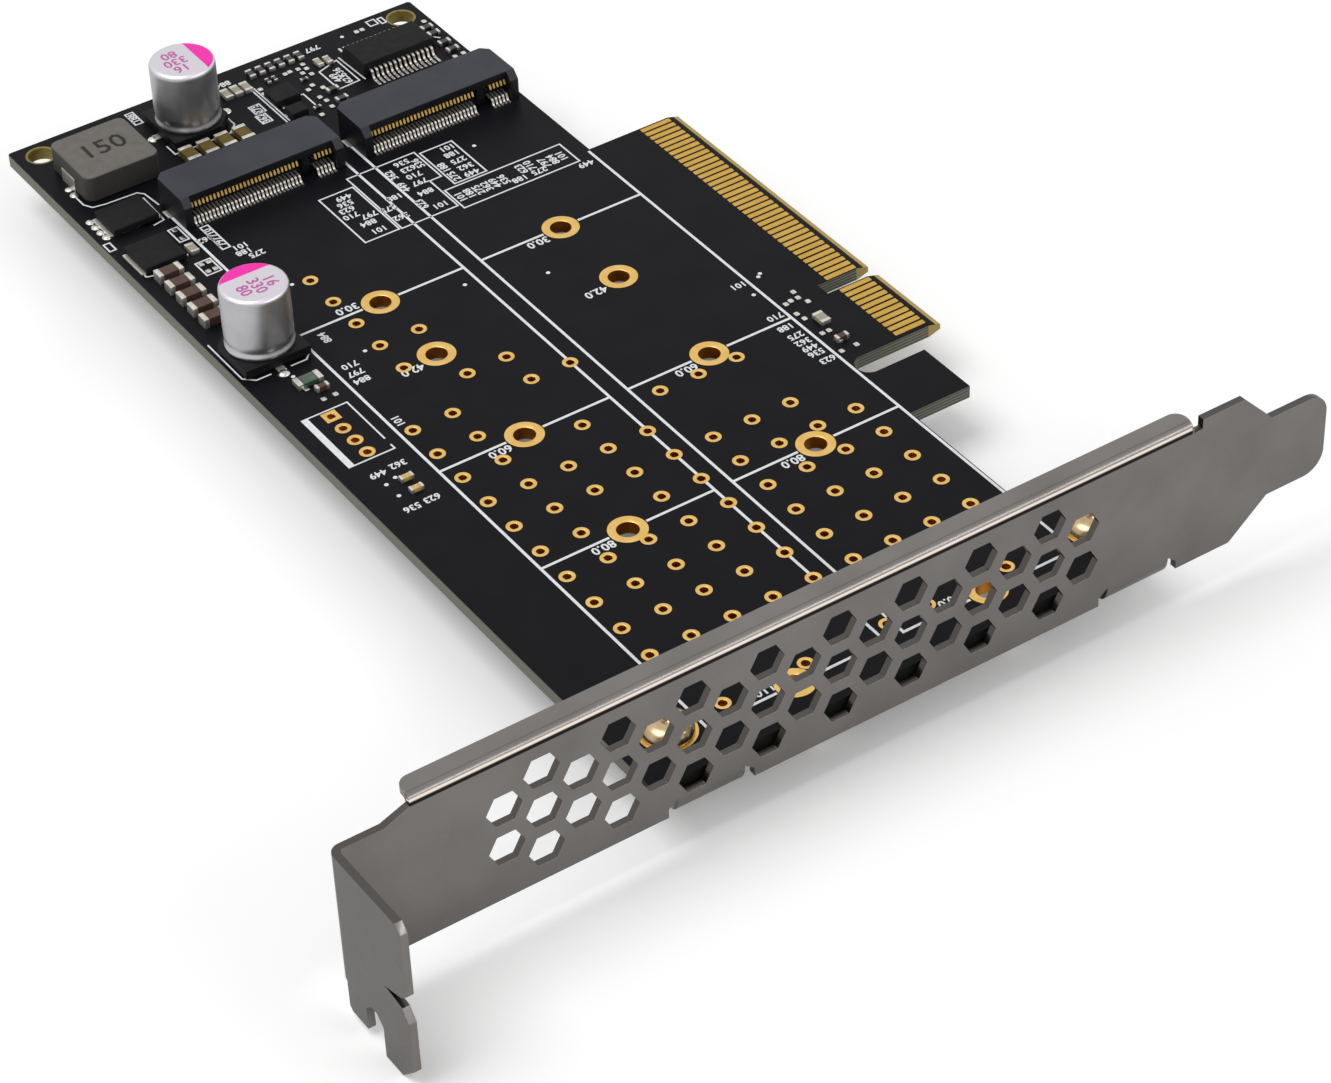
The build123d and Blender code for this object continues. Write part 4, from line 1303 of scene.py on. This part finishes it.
@dataclass
class InterfaceChip:
    """The chip with gull-wing leads along both sides.

    Attributes:
        center: Its middle.
        pitch: Lead pitch.
        count: Leads a side.
        wide: Lead width.
        thick: Lead thickness.
        span: Width over the leads.
        body: Body width.
        foot: Length, width and height of the solder pad under a lead.
        outward: How far its middle lies outside the lead's end.
    """

    center: Flat = (15.2, 93.0)
    pitch: float = 0.65
    count: int = 14
    wide: float = 0.28
    thick: float = 0.14
    span: float = 7.9
    body: float = 5.3
    foot: Spot = (1.5, 0.34, 0.05)
    outward: float = 0.25

    def build(self) -> None:
        """Dresses the body, and builds the leads and their solder pads."""
        Chip("interface_chip_body", EPOXY, 0.07).build()
        reach, root = self.span / 2, self.body / 2
        strip = bent_strip([(root - 0.1, 0.98), (root + 0.3, 0.98), (root + 0.5, 0.84), (root + 0.66, 0.25),
                            (root + 0.82, 0.09), (reach, 0.08)], self.thick, self.wide)
        length, width, height = self.foot
        foot = block(width, length, 0.0, height).rounded(0.03, 1)
        step = (self.pitch, 0.0, 0.0)
        x, y = self.center
        x -= (self.count - 1) / 2 * self.pitch
        leads, pads = Shape(), Shape()
        for side, turn in ((-1, 180.0), (1, 0.0)):
            leads.take(in_row(strip.placed((x, y, 0.0), turn), self.count, step, TIN))
            pads.take(in_row(foot.placed((x, y + side * (reach + self.outward), 0.0)), self.count, step, SOLDER))
        show("interface_chip_gull_leads", leads, TIN, "interface_chip_leads")
        show("interface_chip_solder_pads", pads, SOLDER)


@dataclass
class SmallChips:
    """The small resistors and capacitors, each with its metal ends, and the solder at larger leads.

    Attributes:
        specs: Middle, length, width, height and whether it lies along Y.
        pale: Numbers of the pale capacitors among them.
        extra: Capacitors too small to be in the CAD model, in the same terms.
        cap: Share of the length that each end takes.
        body: Share of the ends' width and height that the body has.
        lifted: Height of the bodies' undersides.
        blobs: Places and sizes of the solder at the leads of larger parts.
    """

    specs: tuple[tuple[float, ...], ...] = (
        tuple((-0.7 + 1.35 * i, 99.2, 1.6, 0.8, 0.5, 1) for i in range(6))
        + tuple((-5.3 + 1.35 * i, 97.0, 2.0, 1.05, 0.55, 1) for i in range(3))
        + ((7.2, 96.4, 1.6, 0.8, 0.5, 1), (8.4, 96.2, 1.6, 0.8, 0.5, 1), (0.3, 96.7, 1.0, 0.5, 0.35, 1),
           (1.2, 96.7, 1.0, 0.5, 0.35, 1), (4.0, 94.4, 1.0, 0.5, 0.35, 0), (5.6, 90.4, 1.6, 0.8, 0.5, 0),
           (5.5, 88.0, 1.6, 0.8, 0.5, 0), (2.2, 88.2, 1.0, 0.5, 0.35, 0), (-24.3, 71.5, 1.8, 1.1, 0.6, 1),
           (21.9, 95.2, 1.6, 0.8, 0.5, 0), (21.9, 93.6, 1.6, 0.8, 0.5, 0), (21.9, 91.1, 1.6, 0.8, 0.5, 0),
           (21.9, 89.2, 1.6, 0.8, 0.5, 0), (25.6, 17.6, 2.0, 1.25, 0.6, 1), (24.9, 13.4, 1.0, 0.5, 0.35, 1)))
    pale: tuple[int, ...] = (6, 7, 8, 9, 10, 17, 22)
    extra: tuple[tuple[float, ...], ...] = ((-25.6, 40.0, 1.6, 0.8, 0.7, 0), (25.3, 13.4, 1.6, 0.8, 0.7, 0))
    cap: float = 0.22
    body: Flat = (0.94, 0.95)
    lifted: float = 0.02
    blobs: tuple[Spot, ...] = (
        (-27.5, 45.1, 1.0), (-27.4, 55.4, 0.9), (-16.9, 94.3, 0.9), (-6.9, 94.3, 0.9), (-29.9, 89.6, 0.8),
        (-29.9, 91.0, 0.7), (-31.0, 83.6, 0.8), (-31.0, 82.3, 0.8), (-31.0, 81.0, 0.8), (-30.9, 79.8, 0.8))

    def build(self) -> None:
        """Builds the bodies, the ends and the solder drops."""
        bodies, pale, brown, ends = Shape(), Shape(), Shape(), Shape()
        slim, flat = self.body
        for i, (x, y, length, width, height, turned) in enumerate(self.specs + self.extra):
            cap = length * self.cap
            place = ((x, y, 0.0), 90.0 * turned)
            body = block(length - 2 * cap, width * slim, self.lifted, height * flat).rounded(0.03, 1)
            kind = brown if i >= len(self.specs) else pale if i in self.pale else bodies
            kind.take(body.placed(*place))
            end = block(cap, width, 0.0, height).rounded(0.06, 2)
            for side in (-1, 1):
                ends.take(end.placed((side * (length - cap) / 2, 0.0, 0.0)).placed(*place))
        show("small_chip_glazed_bodies", bodies, GLAZE, "small_chips")
        show("small_chip_pale_bodies", pale, BEIGE)
        show("small_chip_brown_bodies", brown, BROWN)
        drop = lathe([(0.0, 0.3), (0.3, 0.27), (0.52, 0.17), (0.7, 0.04), (0.72, 0.0), (0.0, 0.0)], 20)
        drops = Shape()
        for x, y, size in self.blobs:
            drops.take(on_points(drop, [(x, y)], SOLDER, size))
        show("solder_drops", drops, SOLDER)
        show("small_chip_tinned_ends", ends, TIN)


@dataclass
class Studio:
    """Floor, light and camera.

    Attributes:
        floor: Height of the floor.
        half: Half its width in metres.
        lift: What the camera sees on the floor above its own light, so that the paper is white.
        soft: Strength of the surround for diffuse light.
        lamps: Name, place, width, depth and power of each lamp, in metres and watts.
        target: What the lamps point at.
        sensor: Width of the camera's sensor in mm.
        lens: Focal length on it.
        place: Place of the camera.
        turn: Its rotation.
    """

    floor: float = -7.92
    half: float = 3.0
    lift: float = 0.14
    soft: float = 0.5
    lamps: tuple[tuple[str, Spot, float, float, float], ...] = (
        ("key_lamp", (-0.35, 0.1, 0.75), 0.5, 0.5, 3.2), ("strip_lamp", (0.4, -0.66, 0.52), 0.9, 0.1, 1.6))
    target: Spot = (0.0, 0.03, 0.0)
    sensor: float = 36.0
    lens: float = 112.118
    place: Spot = (-0.1897, -0.28415, 0.27477)
    turn: Spot = (0.88021, 0.03276, -0.59724)

    def build(self) -> None:
        """Sets up the studio."""
        self.lay_floor()
        self.light()
        self.camera()

    def lay_floor(self) -> None:
        """A wide plain floor."""
        mesh = bpy.data.meshes.new("floor")
        plan = corners(-self.half, -self.half, self.half, self.half)
        mesh.from_pydata([(x, y, self.floor * MM) for x, y in plan], [], [(0, 1, 2, 3)])
        made = bpy.data.materials.new("pale_paper")
        tree = emptied(made)
        coords = add_node(tree, "ShaderNodeTexCoord")
        fibre = add_node(tree, "ShaderNodeTexNoise", {"Vector": coords.outputs["Object"], "Scale": 900.0})
        bump = add_node(tree, "ShaderNodeBump", {"Height": fibre.outputs["Fac"], "Distance": 0.00001})
        shader = add_node(tree, "ShaderNodeBsdfPrincipled", {
            "Base Color": linear("fafafa"), "Roughness": 0.9, "Specular IOR Level": 0.1, "Normal": bump.outputs[0]})
        path = add_node(tree, "ShaderNodeLightPath").outputs
        lift = add_node(tree, "ShaderNodeMath", {0: path["Is Camera Ray"], 1: self.lift}, operation="MULTIPLY")
        glow = add_node(tree, "ShaderNodeEmission", {"Strength": lift.outputs[0]})
        both = add_node(tree, "ShaderNodeAddShader", {0: shader.outputs[0], 1: glow.outputs[0]})
        add_node(tree, "ShaderNodeOutputMaterial", {"Surface": both.outputs[0]})
        mesh.materials.append(made)
        put("studio_floor", mesh)

    def light(self) -> None:
        """A white surround for camera and reflections, dimmer for diffuse light, and soft lamps."""
        world = bpy.data.worlds.new("studio")
        bpy.context.scene.world = world
        tree = emptied(world)
        path = add_node(tree, "ShaderNodeLightPath").outputs
        seen = path["Is Camera Ray"]
        for ray in ("Is Glossy Ray", "Is Transmission Ray"):
            seen = add_node(tree, "ShaderNodeMath", {0: seen, 1: path[ray]}, operation="MAXIMUM").outputs[0]
        soft, white = (add_node(tree, "ShaderNodeBackground", {"Color": (1.0, 1.0, 1.0, 1.0), "Strength": strength})
                       for strength in (self.soft, 1.0))
        both = add_node(tree, "ShaderNodeMixShader", {0: seen, 1: soft.outputs[0], 2: white.outputs[0]})
        add_node(tree, "ShaderNodeOutputWorld", {"Surface": both.outputs[0]})
        for name, spot, wide, deep, power in self.lamps:
            lamp = bpy.data.lights.new(name, "AREA")
            lamp.shape = "RECTANGLE"
            lamp.size = wide
            lamp.size_y = deep
            lamp.energy = power
            holder = put(name, lamp)
            holder.location = spot
            holder.rotation_euler = (Vector(self.target) - Vector(spot)).to_track_quat("-Z", "Y").to_euler()
        bpy.context.scene.view_settings.view_transform = "Standard"

    def camera(self) -> None:
        """The camera at the photograph's angle."""
        lens = bpy.data.cameras.new("camera")
        lens.lens = self.lens
        lens.sensor_width = self.sensor
        lens.sensor_fit = "HORIZONTAL"
        lens.clip_start = 0.01
        holder = put("camera", lens)
        holder.location = self.place
        holder.rotation_euler = self.turn
        bpy.context.scene.camera = holder


def main() -> None:
    """Builds the card piece by piece, then the studio."""
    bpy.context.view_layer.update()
    Board().build()
    BoardPrint().build()
    Bracket().build()
    for name, middle in zip(("left", "right"), LANES):
        ModuleSocket(name, middle).build()
    Capacitor(1, (-11.9, 94.3), 0.0).build()
    Capacitor(2, (-27.4, 50.3), 90.0).build()
    Inductor().build()
    InterfaceChip().build()
    for node, finish in (
            ("socket_hold_downs", TIN), ("transistor_bodies", EPOXY), ("transistor_leads", TIN),
            ("regulator_chip", EPOXY), ("choke", CHOKE), ("brown_capacitor_bodies", BROWN),
            ("brown_capacitor_ends", TIN), ("tan_capacitor_bodies", TAN), ("tan_capacitor_ends", TIN),
            ("fuse_body", GREEN), ("fuse_ends", TIN), ("led_bodies", RESIN), ("led_ends", TIN)):
        Chip(node, finish).build()
    SmallChips().build()
    Studio().build()


if __name__ == "__main__":
    main()
